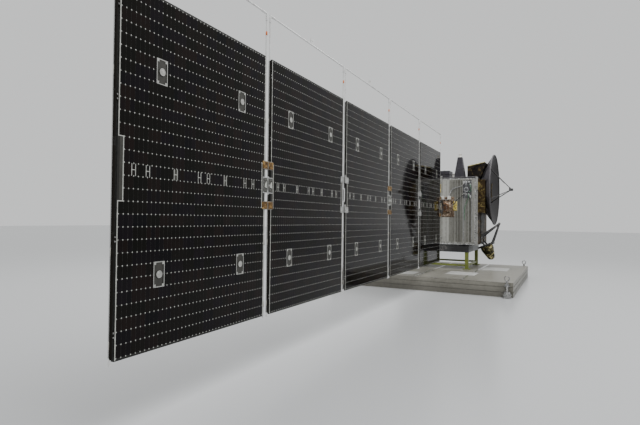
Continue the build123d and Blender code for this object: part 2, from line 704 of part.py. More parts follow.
# Legs: four square posts with feet, tied together low down
leg_spot = stand_half - stand_beam_width / 2
legs = None
for sx in (-1, 1):
    for sy in (-1, 1):
        x, y = sx * leg_spot, sy * leg_spot
        leg = block(x - leg_size / 2, x + leg_size / 2, y - leg_size / 2, y + leg_size / 2,
                    plinth_height, stand_bottom)
        leg += block(x - leg_foot_size / 2, x + leg_foot_size / 2, y - leg_foot_size / 2, y + leg_foot_size / 2,
                     plinth_height, plinth_height + leg_foot_thickness)
        legs = leg if legs is None else legs + leg
for side in (-1, 1):
    low, high = tie_level - tie_size / 2, tie_level + tie_size / 2
    edge0, edge1 = side * leg_spot - tie_size / 2, side * leg_spot + tie_size / 2
    legs += block(-leg_spot, leg_spot, edge0, edge1, low, high)
    legs += block(edge0, edge1, -leg_spot, leg_spot, low, high)
write("stand_legs", legs.solid())

# Plinth: a low boxed platform with two grooves round its sides, under a deck sheet
half_plinth = plinth_length_x / 2
plinth = block(-half_plinth, half_plinth, -plinth_near, plinth_far, 0, plinth_height - plinth_sheet)
for level in plinth_groove_levels:
    band = (level, level + plinth_groove)
    outer = block(-half_plinth, half_plinth, -plinth_near, plinth_far, *band)
    plinth -= outer - block(-half_plinth + plinth_groove, half_plinth - plinth_groove,
                            -plinth_near + plinth_groove, plinth_far - plinth_groove, *band)
write("plinth_base", plinth.solid())
write("plinth_deck", block(-half_plinth, half_plinth, -plinth_near, plinth_far,
                           plinth_height - plinth_sheet, plinth_height))

# Levelling jacks: an arm on the plinth's face, a stack of discs, a screw and a ring handle
jack_stack = ((74.0, 0.0, 22.0), (60.0, 22.0, 44.0), (74.0, 44.0, 66.0), (60.0, 66.0, 88.0),
              (48.0, 88.0, 110.0), (20.0, 110.0, 290.0))      # radius, bottom, top
jack_arm_levels = (190.0, 214.0)
jack_top = jack_stack[-1][2]
jacks = []
for sx in (-1, 1):
    for edge, sy in ((-plinth_near, -1), (plinth_far, 1)):
        x = sx * (half_plinth - jack_inset)
        y = edge + sy * jack_reach
        jack = block(x - jack_arm, x + jack_arm, edge, y, *jack_arm_levels)
        for radius, low, high in jack_stack:
            jack += disc(radius, (x, y, low), high - low)
        jack += Plane(origin=(x, y, jack_top + jack_ring_radius), z_dir=(0, 1, 0)) * Torus(
            jack_ring_radius, jack_ring_wire)
        jacks.append(jack.solid())
write("plinth_jacks", *jacks)
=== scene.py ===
import math

import bpy
import numpy as np
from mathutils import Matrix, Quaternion, Vector


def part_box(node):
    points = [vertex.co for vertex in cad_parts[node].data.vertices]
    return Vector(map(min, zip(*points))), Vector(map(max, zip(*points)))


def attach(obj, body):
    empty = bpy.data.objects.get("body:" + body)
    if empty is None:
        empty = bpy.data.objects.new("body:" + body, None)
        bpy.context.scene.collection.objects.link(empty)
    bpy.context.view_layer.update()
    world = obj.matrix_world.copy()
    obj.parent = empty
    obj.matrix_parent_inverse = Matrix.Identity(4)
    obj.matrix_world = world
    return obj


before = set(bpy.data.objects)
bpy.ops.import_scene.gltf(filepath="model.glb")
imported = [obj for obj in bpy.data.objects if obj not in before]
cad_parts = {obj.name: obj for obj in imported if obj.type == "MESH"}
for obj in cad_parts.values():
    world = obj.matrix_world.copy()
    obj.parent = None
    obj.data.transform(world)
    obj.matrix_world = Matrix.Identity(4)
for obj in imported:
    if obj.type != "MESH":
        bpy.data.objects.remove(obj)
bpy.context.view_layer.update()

# Viewpoint: from beyond the wing's tip, at eye level, looking along the cell faces to the bus.
# The room is a plain pale floor under a plain pale sky, lit by three broad soft lamps overhead.
eye = Vector((2.478, -10.886, 1.281))
yaw, pitch, roll = (math.radians(angle) for angle in (27.92, 0.84, 0.65))
lens = 26.13
room_grey = (0.80, 0.81, 0.81)
floor_grey = (0.60, 0.61, 0.62)
lamp_rows = ((3.0, -7.5, 7.0, 5.0, 260.0), (1.5, -1.0, 7.5, 5.0, 300.0), (-5.0, -4.0, 6.0, 5.0, 120.0))


def add_node(tree, kind, *sources, **settings):
    """A shader node. Its inputs are filled in order: a socket is linked, a value is set, None is left."""
    node = tree.nodes.new(kind)
    for name, value in settings.items():
        setattr(node, name, value)
    for socket, source in zip(node.inputs, sources):
        if isinstance(source, bpy.types.NodeSocket):
            tree.links.new(source, socket)
        elif source is not None:
            socket.default_value = source
    return node


def new_material(name, **values):
    """A material whose Principled shader has these named sockets set. Returns material, tree, shader."""
    material = bpy.data.materials.new(name)
    material.use_nodes = True
    shader = material.node_tree.nodes["Principled BSDF"]
    for socket, value in values.items():
        shader.inputs[socket.replace("_", " ")].default_value = value
    return material, material.node_tree, shader


def colour(red, green, blue):
    """A colour with full alpha."""
    return red, green, blue, 1.0


def ramp(tree, source, *stops):
    """A colour that runs through stops of (place, (red, green, blue)) as a value grows."""
    node = add_node(tree, "ShaderNodeValToRGB", source)
    elements = node.color_ramp.elements
    stops = [(place, colour(*tone)) for place, tone in stops]
    elements[0].position, elements[0].color = stops[0]
    elements[1].position, elements[1].color = stops[-1]
    for place, tone in stops[1:-1]:
        elements.new(place).color = tone
    return node.outputs[0]


def blend(tree, mask, dark, light):
    """A colour between two, by a mask from 0 to 1."""
    return ramp(tree, mask, (0.0, dark), (1.0, light))


def base_colour(tree, shader, tone):
    """The shader takes its base colour from a socket."""
    tree.links.new(tone, shader.inputs["Base Color"])


def calc(tree, operation, *sources):
    """The result of a maths node."""
    return add_node(tree, "ShaderNodeMath", *sources, operation=operation).outputs[0]


def remap(tree, source, from_low, from_high, low=0.0, high=1.0):
    """A value taken from one range to another, and kept within it."""
    return add_node(tree, "ShaderNodeMapRange", source, from_low, from_high, low, high).outputs[0]


def noise(tree, place, scale, detail):
    """A cloudy value at the given places, or at the node's own where they are None."""
    return add_node(tree, "ShaderNodeTexNoise", place, None, scale, detail).outputs[0]


def object_axes(tree):
    """The object's own X, Y and Z."""
    place = add_node(tree, "ShaderNodeTexCoord").outputs["Object"]
    return add_node(tree, "ShaderNodeSeparateXYZ", place).outputs


def vary_roughness(tree, shader, mask, low, high):
    """Roughness from low to high as a mask goes from 0 to 1."""
    tree.links.new(remap(tree, mask, 0.0, 1.0, low, high), shader.inputs["Roughness"])


def add_bump(tree, shader, height, strength, distance):
    """Bump from a height, into the shader's normal."""
    bump = add_node(tree, "ShaderNodeBump", strength, distance)
    tree.links.new(height, bump.inputs["Height"])
    tree.links.new(bump.outputs[0], shader.inputs["Normal"])


look = Vector((-math.sin(yaw) * math.cos(pitch), math.cos(yaw) * math.cos(pitch), math.sin(pitch)))
camera = bpy.data.objects.new("camera", bpy.data.cameras.new("camera"))
camera.data.lens = lens
camera.data.sensor_width = 36.0
camera.data.clip_end = 200.0
camera.location = eye
camera.rotation_mode = "QUATERNION"
camera.rotation_quaternion = look.to_track_quat("-Z", "Y") @ Quaternion((0, 0, 1), roll)
bpy.context.collection.objects.link(camera)
bpy.context.scene.camera = camera

world = bpy.data.worlds.new("pale_room")
world.use_nodes = True
world.node_tree.nodes["Background"].inputs["Color"].default_value = colour(*room_grey)
bpy.context.scene.world = world
for index, (x, y, z, size, power) in enumerate(lamp_rows):
    lamp = bpy.data.lights.new(f"lamp_{index}", "AREA")
    lamp.size = size
    lamp.energy = power
    lamp_object = bpy.data.objects.new(f"lamp_{index}", lamp)
    lamp_object.location = (x, y, z)
    bpy.context.collection.objects.link(lamp_object)

floor_paint, tree, shader = new_material("floor_paint", Base_Color=colour(*floor_grey), Roughness=0.22)
vary_roughness(tree, shader, noise(tree, None, 0.7, 5.0), 0.16, 0.34)
floor_size = 60.0
floor_mesh = bpy.data.meshes.new("floor")
floor_mesh.from_pydata([(x, y, 0.0) for x, y in ((-floor_size, -floor_size), (floor_size, -floor_size),
                                                 (floor_size, floor_size), (-floor_size, floor_size))],
                       [], [(0, 1, 2, 3)])
floor_mesh.materials.append(floor_paint)
floor = bpy.data.objects.new("floor", floor_mesh)
bpy.context.collection.objects.link(floor)

# Solar panels: each a honeycomb sandwich with black woven carbon faces, its edges taped black.
# The panels are CAD nodes, numbered from the bus outwards.
panel_numbers = range(1, 6)
panel_low, panel_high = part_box("near_panel_1")
panel_width = panel_high.y - panel_low.y
panel_height = panel_high.z - panel_low.z
panel_thickness = 0.024
wing_height = (panel_low.z + panel_high.z) / 2


def new_group(name, amount, *results):
    """A shader node group with one input and these outputs, all numbers. Returns the group, the
    input's socket, the output node and the object coordinates."""
    group = bpy.data.node_groups.new(name, "ShaderNodeTree")
    group.interface.new_socket(amount, in_out="INPUT", socket_type="NodeSocketFloat")
    for result in results:
        group.interface.new_socket(result, in_out="OUTPUT", socket_type="NodeSocketFloat")
    source = group.nodes.new("NodeGroupInput")
    target = group.nodes.new("NodeGroupOutput")
    place = add_node(group, "ShaderNodeTexCoord").outputs["Object"]
    return group, source.outputs[0], target, place


def weave_group():
    """Two crossed sets of threads: height is the product of a sine along the face and one up it."""
    group, threads, target, place = new_group("carbon_weave", "Threads", "Height")
    x, y, z = add_node(group, "ShaderNodeSeparateXYZ", place).outputs
    waves = [calc(group, "SINE", calc(group, "MULTIPLY", axis, threads))
             for axis in (calc(group, "ADD", x, y), z)]
    group.links.new(calc(group, "MULTIPLY", *waves), target.inputs[0])
    return group


def mottle_group():
    """Cloudy unevenness from two noises, coarse and fine, mixed half and half, as a mask from 0 to 1."""
    group, scale, target, place = new_group("mottle", "Scale", "Mask")
    coarse = noise(group, place, scale, 4.0)
    fine = noise(group, place, calc(group, "MULTIPLY", scale, 7.3), 3.0)
    group.links.new(remap(group, calc(group, "ADD", coarse, fine), 0.7, 1.3), target.inputs[0])
    return group


carbon_weave = weave_group()
mottle = mottle_group()


def add_group(tree, group, *values):
    """The outputs of a shader node group placed in a tree, its inputs set in order."""
    node = add_node(tree, "ShaderNodeGroup", node_tree=group)
    for socket, value in zip(node.inputs, values):
        socket.default_value = value
    return node.outputs


def finish_nodes(material, *names):
    """A material on CAD nodes, in each of their material slots."""
    for name in names:
        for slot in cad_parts[name].material_slots:
            slot.material = material


def clouded(tree, shader, scale, dark, light):
    """The base colour clouds between two colours. Returns the cloud's mask."""
    mask = add_group(tree, mottle, scale)[0]
    base_colour(tree, shader, blend(tree, mask, dark, light))
    return mask


def carbon_material(name, dark, light, roughness, threads=1500.0):
    """Woven carbon under clear resin: dark cloth with a faint thread relief and a cloudy sheen."""
    material, tree, shader = new_material(name, Roughness=roughness, Specular_IOR_Level=0.3)
    mask = clouded(tree, shader, 3.0, dark, light)
    vary_roughness(tree, shader, mask, roughness - 0.08, roughness + 0.12)
    add_bump(tree, shader, add_group(tree, carbon_weave, threads)[0], 0.25, 0.0003)
    return material


panel_carbon = carbon_material("panel_carbon", (0.008, 0.008, 0.007), (0.020, 0.019, 0.016), 0.50)
finish_nodes(panel_carbon, *[f"near_panel_{number}" for number in panel_numbers])

# Solar cells: rows of tall dark cells under cover glass with their corners cropped, glued on a
# grey film. A white spot of adhesive and diode fills each crossing of four cropped corners.
columns, rows = 42, 29
column_pitch, row_pitch = 0.0352, 0.0772
column_gap, row_gap = 0.0013, 0.0011
corner_crop = 0.007
cell_rise = 0.0007
cell_tilt = 0.00002
film_rise = 0.0002
spot_radius = 0.0039
spot_rise = 0.0009
notch_rows = 5               # cell-free notch at mid height of both upright edges, one column wide
pocket_reaches = (0.3308, 1.1742)      # hold-down pockets, from the panel's inner edge
pocket_levels = (-0.656, 0.656)
pocket_half = (0.040, 0.077)
batch_colours = ((0.0, (0.003, 0.003, 0.002)), (0.35, (0.005, 0.004, 0.003)), (0.55, (0.009, 0.005, 0.004)),
                 (0.72, (0.004, 0.003, 0.004)), (0.88, (0.006, 0.004, 0.006)), (1.0, (0.002, 0.002, 0.003)))


def stamps(outline, rings, spots):
    """Like raised plates on a flat face, as points (along, up, out) and lists of faces.

    The outline stands at every spot as a stack of rings, each scaled by its first number and
    raised by its second, with quads between two rings and one flat face on the last.
    """
    outline, rings, spots = (np.asarray(table, float) for table in (outline, rings, spots))
    flat = spots[:, None, None, :] + rings[None, :, None, :1] * outline[None, None]
    out = np.broadcast_to(rings[None, :, None, 1:], flat.shape[:3] + (1,))
    sides, steps = len(outline), len(rings)
    first = (np.arange(len(spots)) * steps * sides)[:, None, None] + (np.arange(steps - 1) * sides)[:, None]
    here, ahead = np.arange(sides), (np.arange(sides) + 1) % sides
    quads = np.stack([first + here, first + ahead, first + sides + ahead, first + sides + here], -1)
    caps = (np.arange(len(spots))[:, None] * steps + steps - 1) * sides + here
    return np.concatenate([flat, out], 3).reshape(-1, 3), [quads.reshape(-1, 4), caps]


def polygon(radius, sides):
    """The corners of a regular outline round its middle."""
    angle = 2 * np.pi * (np.arange(sides) + 0.5) / sides
    return radius * np.stack([np.cos(angle), np.sin(angle)], 1)


def rectangle(width, height):
    """The corners of a rectangle round its middle."""
    return np.array([(-1, -1), (1, -1), (1, 1), (-1, 1)]) * (width / 2, height / 2)


def joined(parts):
    """Several pieces of points and faces as one."""
    starts = np.cumsum([0] + [len(points) for points, faces in parts])
    faces = [table + start for (points, tables), start in zip(parts, starts) for table in tables]
    return np.concatenate([points for points, tables in parts]), faces


def add_piece(name, part, material, body, smooth=False):
    """A mesh object made from points and lists of faces, riding on a body."""
    points, faces = part
    mesh = bpy.data.meshes.new(name)
    mesh.from_pydata(np.asarray(points).tolist(), [], [face for table in faces for face in table.tolist()])
    mesh.polygons.foreach_set("use_smooth", np.full(len(mesh.polygons), smooth))
    mesh.materials.append(material)
    mesh.update()
    piece = bpy.data.objects.new(name, mesh)
    bpy.context.collection.objects.link(piece)
    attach(piece, body)
    return piece


def plate_values(piece, name, values, corners):
    """A value for every stamped plate of a piece, set on its sides first and then on its cap."""
    attribute = piece.data.attributes.new(name, "FLOAT", "FACE")
    spread = np.concatenate([np.repeat(values, corners), values]).astype(np.float32)
    attribute.data.foreach_set("value", spread)


def panel_face(number, back=False):
    """Where a panel's flat face lies at rest: its inner edge at mid height, the way along and the way out."""
    low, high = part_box(f"near_panel_{number}")
    x = low.x if back else low.x + panel_thickness
    return np.array((x, high.y, wing_height)), np.array((0, -1, 0)), np.array((-1 if back else 1, 0, 0))


def side_plane(side, x, y, z):
    """A face square to Y that looks out to the side, its start and the way along X."""
    return np.array((x, y, z)), np.array((1, 0, 0)), np.array((0, side, 0))


def end_plane(side, x, y, z):
    """A face square to X that looks out to the side, its start and the way along Y."""
    return np.array((x, y, z)), np.array((0, 1, 0)), np.array((side, 0, 0))


def flipped(tables):
    """Faces turned over."""
    return [table[:, ::-1] for table in tables]


def laid(part, face, up=(0, 0, 1)):
    """Points (along, up, out) set on a flat face, faces turned over where that mirrors them."""
    (points, tables), (start, along, out) = part, face
    placed = start + points[:, :1] * along + points[:, 1:2] * np.array(up) + points[:, 2:] * out
    mirrored = np.dot(np.cross(along, up), out) < 0
    return placed, flipped(tables) if mirrored else tables


column_start = (panel_width - columns * column_pitch) / 2
row_start = -rows * row_pitch / 2


def inside_pocket(spots, grow_along, grow_up):
    """Which spots lie in a hold-down pocket, its rectangle made larger by the two given amounts."""
    masks = [(np.abs(spots[:, 0] - reach) < pocket_half[0] + grow_along)
             & (np.abs(spots[:, 1] - level) < pocket_half[1] + grow_up)
             for reach in pocket_reaches for level in pocket_levels]
    return np.any(masks, axis=0)


def cell_spots():
    """The middles of all cells of a panel, without those at pockets and notches."""
    across, up = np.meshgrid(np.arange(columns), np.arange(rows), indexing="ij")
    spots = np.stack([column_start + (across + 0.5) * column_pitch, row_start + (up + 0.5) * row_pitch], -1)
    notch = ((across == 0) | (across == columns - 1)) & (np.abs(up - (rows - 1) / 2) < notch_rows / 2)
    spots = spots[~notch]
    return spots[~inside_pocket(spots, -0.004, -0.004)]


def crossing_spots():
    """The middles of the white spots: every corner where cells meet, along the panel's edges too."""
    across, up = np.meshgrid(np.arange(columns + 1), np.arange(rows + 1), indexing="ij")
    spots = np.stack([column_start + across * column_pitch, row_start + up * row_pitch], -1)
    notch = ((across == 0) | (across == columns)) & (np.abs(up - rows / 2) < notch_rows / 2 - 0.6)
    spots = spots[~notch]
    return spots[~inside_pocket(spots, 0.002, 0.002)]


def cell_part(seed):
    """Cropped-corner plates, each cell's glass tilted by a hair so that reflections break up."""
    random = np.random.default_rng(seed)
    half_u, half_z = (column_pitch - column_gap) / 2, (row_pitch - row_gap) / 2
    outline = [(half_u - corner_crop, -half_z), (half_u, corner_crop - half_z),
               (half_u, half_z - corner_crop), (half_u - corner_crop, half_z), (corner_crop - half_u, half_z),
               (-half_u, half_z - corner_crop), (-half_u, corner_crop - half_z),
               (corner_crop - half_u, -half_z)]
    spots = cell_spots()
    points, faces = stamps(outline, [(1.0, film_rise), (1.0, cell_rise)], spots)
    stack = points.reshape(len(spots), 2, 8, 3)
    tilt = random.normal(0.0, cell_tilt, (len(spots), 2))
    stack[:, 1, :, 2] += (tilt[:, None, :] * np.asarray(outline) / (half_u, half_z)).sum(-1)
    return points, faces, spots


def batch_values(spots, seed):
    """A value per cell, shared by cells glued in the same string: blocks of a few columns and one row."""
    random = np.random.default_rng(seed)
    widths = np.repeat(np.arange(columns), 3)[:columns]
    column = np.round((spots[:, 0] - column_start) / column_pitch - 0.5).astype(int)
    row = np.round((spots[:, 1] - row_start) / row_pitch - 0.5).astype(int)
    table = random.random((columns, rows))
    return np.clip(table[widths[column], row] + random.normal(0.0, 0.05, len(spots)), 0.0, 1.0)


cell_glass, tree, shader = new_material("cell_glass", Roughness=0.06, IOR=1.2)
batch = add_node(tree, "ShaderNodeAttribute", attribute_name="batch").outputs["Fac"]
base_colour(tree, shader, ramp(tree, batch, *batch_colours))
vary_roughness(tree, shader, add_group(tree, mottle, 9.0)[0], 0.03, 0.09)

film_grey, tree, shader = new_material("cell_film", Roughness=0.5)
clouded(tree, shader, 6.0, (0.030, 0.030, 0.028), (0.062, 0.060, 0.056))

tab_white, tree, shader = new_material("tab_white", Roughness=0.35, Metallic=0.0)
clouded(tree, shader, 40.0, (0.34, 0.34, 0.31), (0.66, 0.66, 0.62))

film_part = stamps(rectangle(column_pitch, row_pitch), [(1.0, 0.0), (1.0, film_rise)], cell_spots())
spot_part = stamps(polygon(spot_radius, 6), [(1.0, film_rise), (0.45, spot_rise)], crossing_spots())

# String terminals: white strips that end the cell strings. One runs up each edge and steps round
# the notch; a row of H-shaped links bridges the strings at mid height, two of them on a board.
strip_width = 0.006
strip_inset = 0.0065
link_bar = 0.0042
link_height = 0.074
link_spread = 0.024
link_spots = (0.1705, 0.2795, 0.5275, 0.7185, 0.8125, 1.0425, 1.2785, 1.3875)      # from the inner edge
board_spots = (0.5275, 1.0425)
board_size = (0.044, 0.070)
terminal_rise = 0.0014


def bars(rows_of_bars, low=film_rise, high=terminal_rise):
    """Flat bars from rows of (start along, end along, low, high), raised from low to high."""
    return joined([stamps(rectangle(u1 - u0, z1 - z0), [(1.0, low), (1.0, high)],
                          [((u0 + u1) / 2, (z0 + z1) / 2)]) for u0, u1, z0, z1 in rows_of_bars])


def edge_strip(from_edge):
    """The white strip up one edge: from_edge gives the distance along the panel for a distance in."""
    outer = sorted((from_edge(strip_inset - strip_width / 2), from_edge(strip_inset + strip_width / 2)))
    inner = sorted((from_edge(strip_inset + column_pitch - strip_width / 2),
                    from_edge(strip_inset + column_pitch + strip_width / 2)))
    half_notch = notch_rows * row_pitch / 2
    end = panel_height / 2 - 0.006
    step = strip_width / 2
    across = (min(outer + inner), max(outer + inner))
    return [(*outer, half_notch + step, end), (*outer, -end, -half_notch - step),
            (*inner, -half_notch + step, half_notch - step), (*across, half_notch - step, half_notch + step),
            (*across, -half_notch - step, -half_notch + step)]


strip_rows = edge_strip(lambda inset: inset) + edge_strip(lambda inset: panel_width - inset)
link_rows = []
for reach in link_spots:
    half = link_spread / 2
    link_rows += [(reach - half - link_bar, reach - half, -link_height / 2, link_height / 2),
                  (reach + half, reach + half + link_bar, -link_height / 2, link_height / 2),
                  (reach - half, reach + half, -link_bar / 2, link_bar / 2)]
terminal_part = joined([bars(strip_rows + link_rows), spot_part])

board_grey, tree, shader = new_material("board_grey", Roughness=0.5)
clouded(tree, shader, 30.0, (0.020, 0.019, 0.015), (0.042, 0.040, 0.032))
notch_half = (column_pitch / 2 - 0.004, notch_rows * row_pitch / 2 - 0.006)
board_part = joined([stamps(rectangle(*board_size), [(1.0, film_rise), (1.0, 0.001)],
                            [(reach, -0.002) for reach in board_spots]),
                     stamps(rectangle(2 * notch_half[0], 2 * notch_half[1]), [(1.0, 0.0), (0.98, 0.0005)],
                            [(column_start + column_pitch / 2 - 0.002, 0.0),
                             (panel_width - column_start - column_pitch / 2 + 0.002, 0.0)])])

# Hold-down pockets: a light-alloy frame round each cut-out in the cells, a grey liner in it and a
# ringed silver disc on the bush where a folded stack is clamped.
frame_bar = 0.006
frame_rise = 0.0022
disc_profile = ((1.0, 0.0), (1.0, 0.0012), (0.84, 0.0016), (0.80, 0.0008), (0.52, 0.0008), (0.48, 0.0018),
                (0.2, 0.0020))
bush_rise = 0.0032
bush_radius = 0.0245


def pocket_bars():
    """The four bars of each pocket's frame, with small feet where they meet."""
    table = []
    for reach in pocket_reaches:
        for level in pocket_levels:
            u0, u1 = reach - pocket_half[0], reach + pocket_half[0]
            z0, z1 = level - pocket_half[1], level + pocket_half[1]
            table += [(u0 - frame_bar, u0, z0 - frame_bar, z1 + frame_bar),
                      (u1, u1 + frame_bar, z0 - frame_bar, z1 + frame_bar),
                      (u0, u1, z0 - frame_bar, z0), (u0, u1, z1, z1 + frame_bar)]
            foot = 0.014
            table += [(u, u + foot, z, z + foot) for u in (u0, u1 - foot) for z in (z0, z1 - foot)]
    return table


pocket_spots = [(reach, level) for reach in pocket_reaches for level in pocket_levels]
pocket_alloy, tree, shader = new_material("pocket_alloy", Metallic=0.6, Roughness=0.4)
cloud = clouded(tree, shader, 25.0, (0.32, 0.32, 0.30), (0.58, 0.58, 0.55))
vary_roughness(tree, shader, cloud, 0.3, 0.5)
liner_part = stamps(rectangle(2 * pocket_half[0] - 0.002, 2 * pocket_half[1] - 0.002),
                    [(1.0, -0.0012), (1.0, -0.0009)], pocket_spots)
disc_part = stamps(polygon(bush_radius, 24), [(scale, bush_rise + rise) for scale, rise in disc_profile],
                   pocket_spots)
pocket_part = joined([bars(pocket_bars()), disc_part])

panel_rows = (("film", film_part, film_grey, "cell_panel"),
              ("terminals", terminal_part, tab_white, "cell_panel"),
              ("boards", joined([board_part, liner_part]), board_grey, "cell_panel"),
              ("pockets", pocket_part, pocket_alloy, "hinge_alloy"))
for number in panel_numbers:
    face = panel_face(number)
    body = f"near_panel_{number}"
    points, faces, spots = cell_part(number)
    cells = add_piece(f"near_cells_{number}", laid((points, faces), face), cell_glass, body)
    plate_values(cells, "batch", batch_values(spots, number), 8)
    for kind, part, material, slot in panel_rows:
        add_piece(f"near_{kind}_{number}", laid(part, face), material, body)

# Hinge fittings and latches: milled light-alloy leaves and plates, each bolted through the panel by
# hex screws, with a coiled steel spring round every hinge pin that drives the wing open.
hinge_levels = (0.180, -0.172)         # from the wing's mid height
leaf_thickness = 0.006
latch_level = 0.005
latch_thickness = 0.004
panel_gap = 0.095
leaf_screws = ((0.016, -0.022), (0.016, 0.022), (0.046, -0.022), (0.046, 0.022))     # in from the edge, up
latch_screws = ((0.021, -0.058), (0.021, -0.030), (0.021, 0.0), (0.021, 0.030), (0.021, 0.058))
screw_shape = ((1.0, 0.0), (1.0, 0.0032), (0.82, 0.0040), (0.45, 0.0040), (0.40, 0.0022))
screw_radius = 0.0052
small_screw = 0.0032
washer_shape = ((1.55, 0.0), (1.55, 0.0007))
spring_radius = 0.0112
spring_wire = 0.0014
spring_turns = 7
spring_length = 0.024
latch_cover = (0.058, 0.124)
# A bright crank, along and up
latch_lever = ((-0.020, -0.026), (0.016, -0.018), (0.010, 0.004), (-0.012, 0.034))
latch_bars = ((-0.026, 0.0, 0.006, 0.118), (0.024, 0.0, 0.006, 0.118), (0.0, 0.050, 0.046, 0.007),
              (0.0, -0.048, 0.046, 0.007), (0.004, 0.026, 0.030, 0.004), (0.004, -0.034, 0.030, 0.004))
latch_rollers = ((-0.014, 0.042), (0.014, 0.042), (-0.014, -0.040), (0.014, -0.040))
roller_shape = ((1.0, 0.0), (1.0, 0.004), (0.7, 0.0052), (0.3, 0.0052))
hinge_rise = 0.013                     # hinge axis above the panel's face


def scuff_group():
    """Small scuffs: a fine noise cut off high, inside the clouds of a coarse one, as a mask."""
    group, scale, target, place = new_group("scuffs", "Scale", "Mask")
    both = calc(group, "MULTIPLY", noise(group, place, scale, 6.0), noise(group, place, 2.3, 2.0))
    group.links.new(remap(group, both, 0.33, 0.40), target.inputs[0])
    return group


scuffs = scuff_group()


def mixed(tree, mask, first, second):
    """One colour where the mask is 0 and another where it is 1."""
    mix = add_node(tree, "ShaderNodeMix", data_type="RGBA")
    for index, source in ((0, mask), (6, first), (7, second)):
        if isinstance(source, bpy.types.NodeSocket):
            tree.links.new(source, mix.inputs[index])
        else:
            mix.inputs[index].default_value = colour(*source)
    return mix.outputs[2]


def worn_material(name, dark, light, worn, gloss, metal=0.0, scale=8.0, grain=90.0, relief=0.0004, wear=30.0,
                  level=0.5):
    """A finish that clouds between two colours, scuffed to a third, over a fine uneven skin."""
    material, tree, shader = new_material(name, Metallic=metal, Specular_IOR_Level=level)
    mask = add_group(tree, mottle, scale)[0]
    scuffed = add_group(tree, scuffs, wear)[0]
    base_colour(tree, shader, mixed(tree, scuffed, blend(tree, mask, dark, light), worn))
    vary_roughness(tree, shader, mask, gloss - 0.07, gloss + 0.09)
    add_bump(tree, shader, add_group(tree, mottle, grain)[0], 0.3, relief)
    return material


def lathe(profile, start, direction, sides=20):
    """A profile turned about a line: each (distance, radius) gives a ring of points at start plus
    distance along the line plus radius times the cosine and sine of the turn, ends closed flat."""
    profile = np.asarray(profile, float)
    axis = np.asarray(direction, float) / np.linalg.norm(direction)
    first = np.cross(axis, (0.0, 0.0, 1.0) if abs(axis[2]) < 0.9 else (1.0, 0.0, 0.0))
    first /= np.linalg.norm(first)
    second = np.cross(axis, first)
    angle = 2 * np.pi * np.arange(sides) / sides
    ring = np.cos(angle)[:, None] * first + np.sin(angle)[:, None] * second
    points = np.asarray(start) + profile[:, None, :1] * axis + profile[:, None, 1:] * ring
    return points.reshape(-1, 3), tube_faces(len(profile), sides)


def tube_faces(rings, sides):
    """Quads between rings of points, and a flat face at both ends."""
    here, ahead = np.arange(sides), (np.arange(sides) + 1) % sides
    first = (np.arange(rings - 1) * sides)[:, None]
    quads = np.stack([first + here, first + ahead, first + sides + ahead, first + sides + here], -1)
    return [quads.reshape(-1, 4), here[None, ::-1], (rings - 1) * sides + here[None]]


def swept(path, radius, sides=8, reference=(0.0, 0.0, 1.0)):
    """A circle carried along a path: at each point it stands square to the path, its radius times
    the cosine along one side direction plus the sine along the other."""
    path = np.asarray(path, float)
    ahead = np.gradient(path, axis=0)
    ahead /= np.linalg.norm(ahead, axis=1)[:, None]
    first = np.cross(ahead, reference)
    first /= np.linalg.norm(first, axis=1)[:, None]
    second = np.cross(ahead, first)
    angle = 2 * np.pi * np.arange(sides) / sides
    ring = np.cos(angle)[None, :, None] * first[:, None] + np.sin(angle)[None, :, None] * second[:, None]
    points = path[:, None] + np.reshape(radius, (-1, 1, 1)) * ring
    return points.reshape(-1, 3), tube_faces(len(path), sides)


def helix(middle, radius, rise, turns, steps=9):
    """A path round an upright line: radius times the cosine and sine of the turn, rising evenly."""
    turn = np.linspace(0.0, 2 * np.pi * turns, turns * steps + 1)
    middle = np.asarray(middle)
    return np.stack([middle[0] + radius * np.cos(turn), middle[1] + radius * np.sin(turn),
                     middle[2] + rise * turn / turn[-1]], 1)


def screws(spots, base, radius=screw_radius):
    """Hex screws with a round washer and a sunk socket, standing on a surface that much above the face."""
    washer = stamps(polygon(radius, 10), [(scale, base + rise) for scale, rise in washer_shape], spots)
    head = stamps(polygon(radius, 6), [(scale, base + rise) for scale, rise in screw_shape], spots)
    return joined([washer, head])


def line_ends(number, back):
    """For each end of a panel: how a distance in from the edge maps along it, and whether the
    hinge leaves (or else the latch) of that line lie on this face."""
    inner = (lambda reach: reach, (number % 2 == 0) != back)
    outer = (lambda reach: panel_width - reach, (number % 2 == 1) != back)
    return (inner, outer) if number < 5 else (inner,)


fitting_alloy = worn_material("fitting_alloy", (0.40, 0.40, 0.39), (0.62, 0.62, 0.61), (0.75, 0.75, 0.74),
                              0.34, 0.9)
screw_steel = worn_material("screw_steel", (0.30, 0.30, 0.30), (0.50, 0.49, 0.48), (0.6, 0.6, 0.6), 0.3, 1.0,
                            60.0)
latch_dark = worn_material("latch_dark", (0.016, 0.016, 0.013), (0.045, 0.045, 0.036), (0.14, 0.14, 0.12),
                           0.42, 0.0, 40.0)
latch_grey = worn_material("latch_grey", (0.10, 0.10, 0.09), (0.19, 0.19, 0.17), (0.40, 0.40, 0.37), 0.36,
                           0.4, 40.0)
latch_bright = worn_material("latch_bright", (0.45, 0.46, 0.42), (0.70, 0.71, 0.66), (0.8, 0.8, 0.77), 0.30,
                             0.6, 40.0)
finish_nodes(fitting_alloy, "near_yoke_fittings", *[f"near_fittings_{number}" for number in panel_numbers])


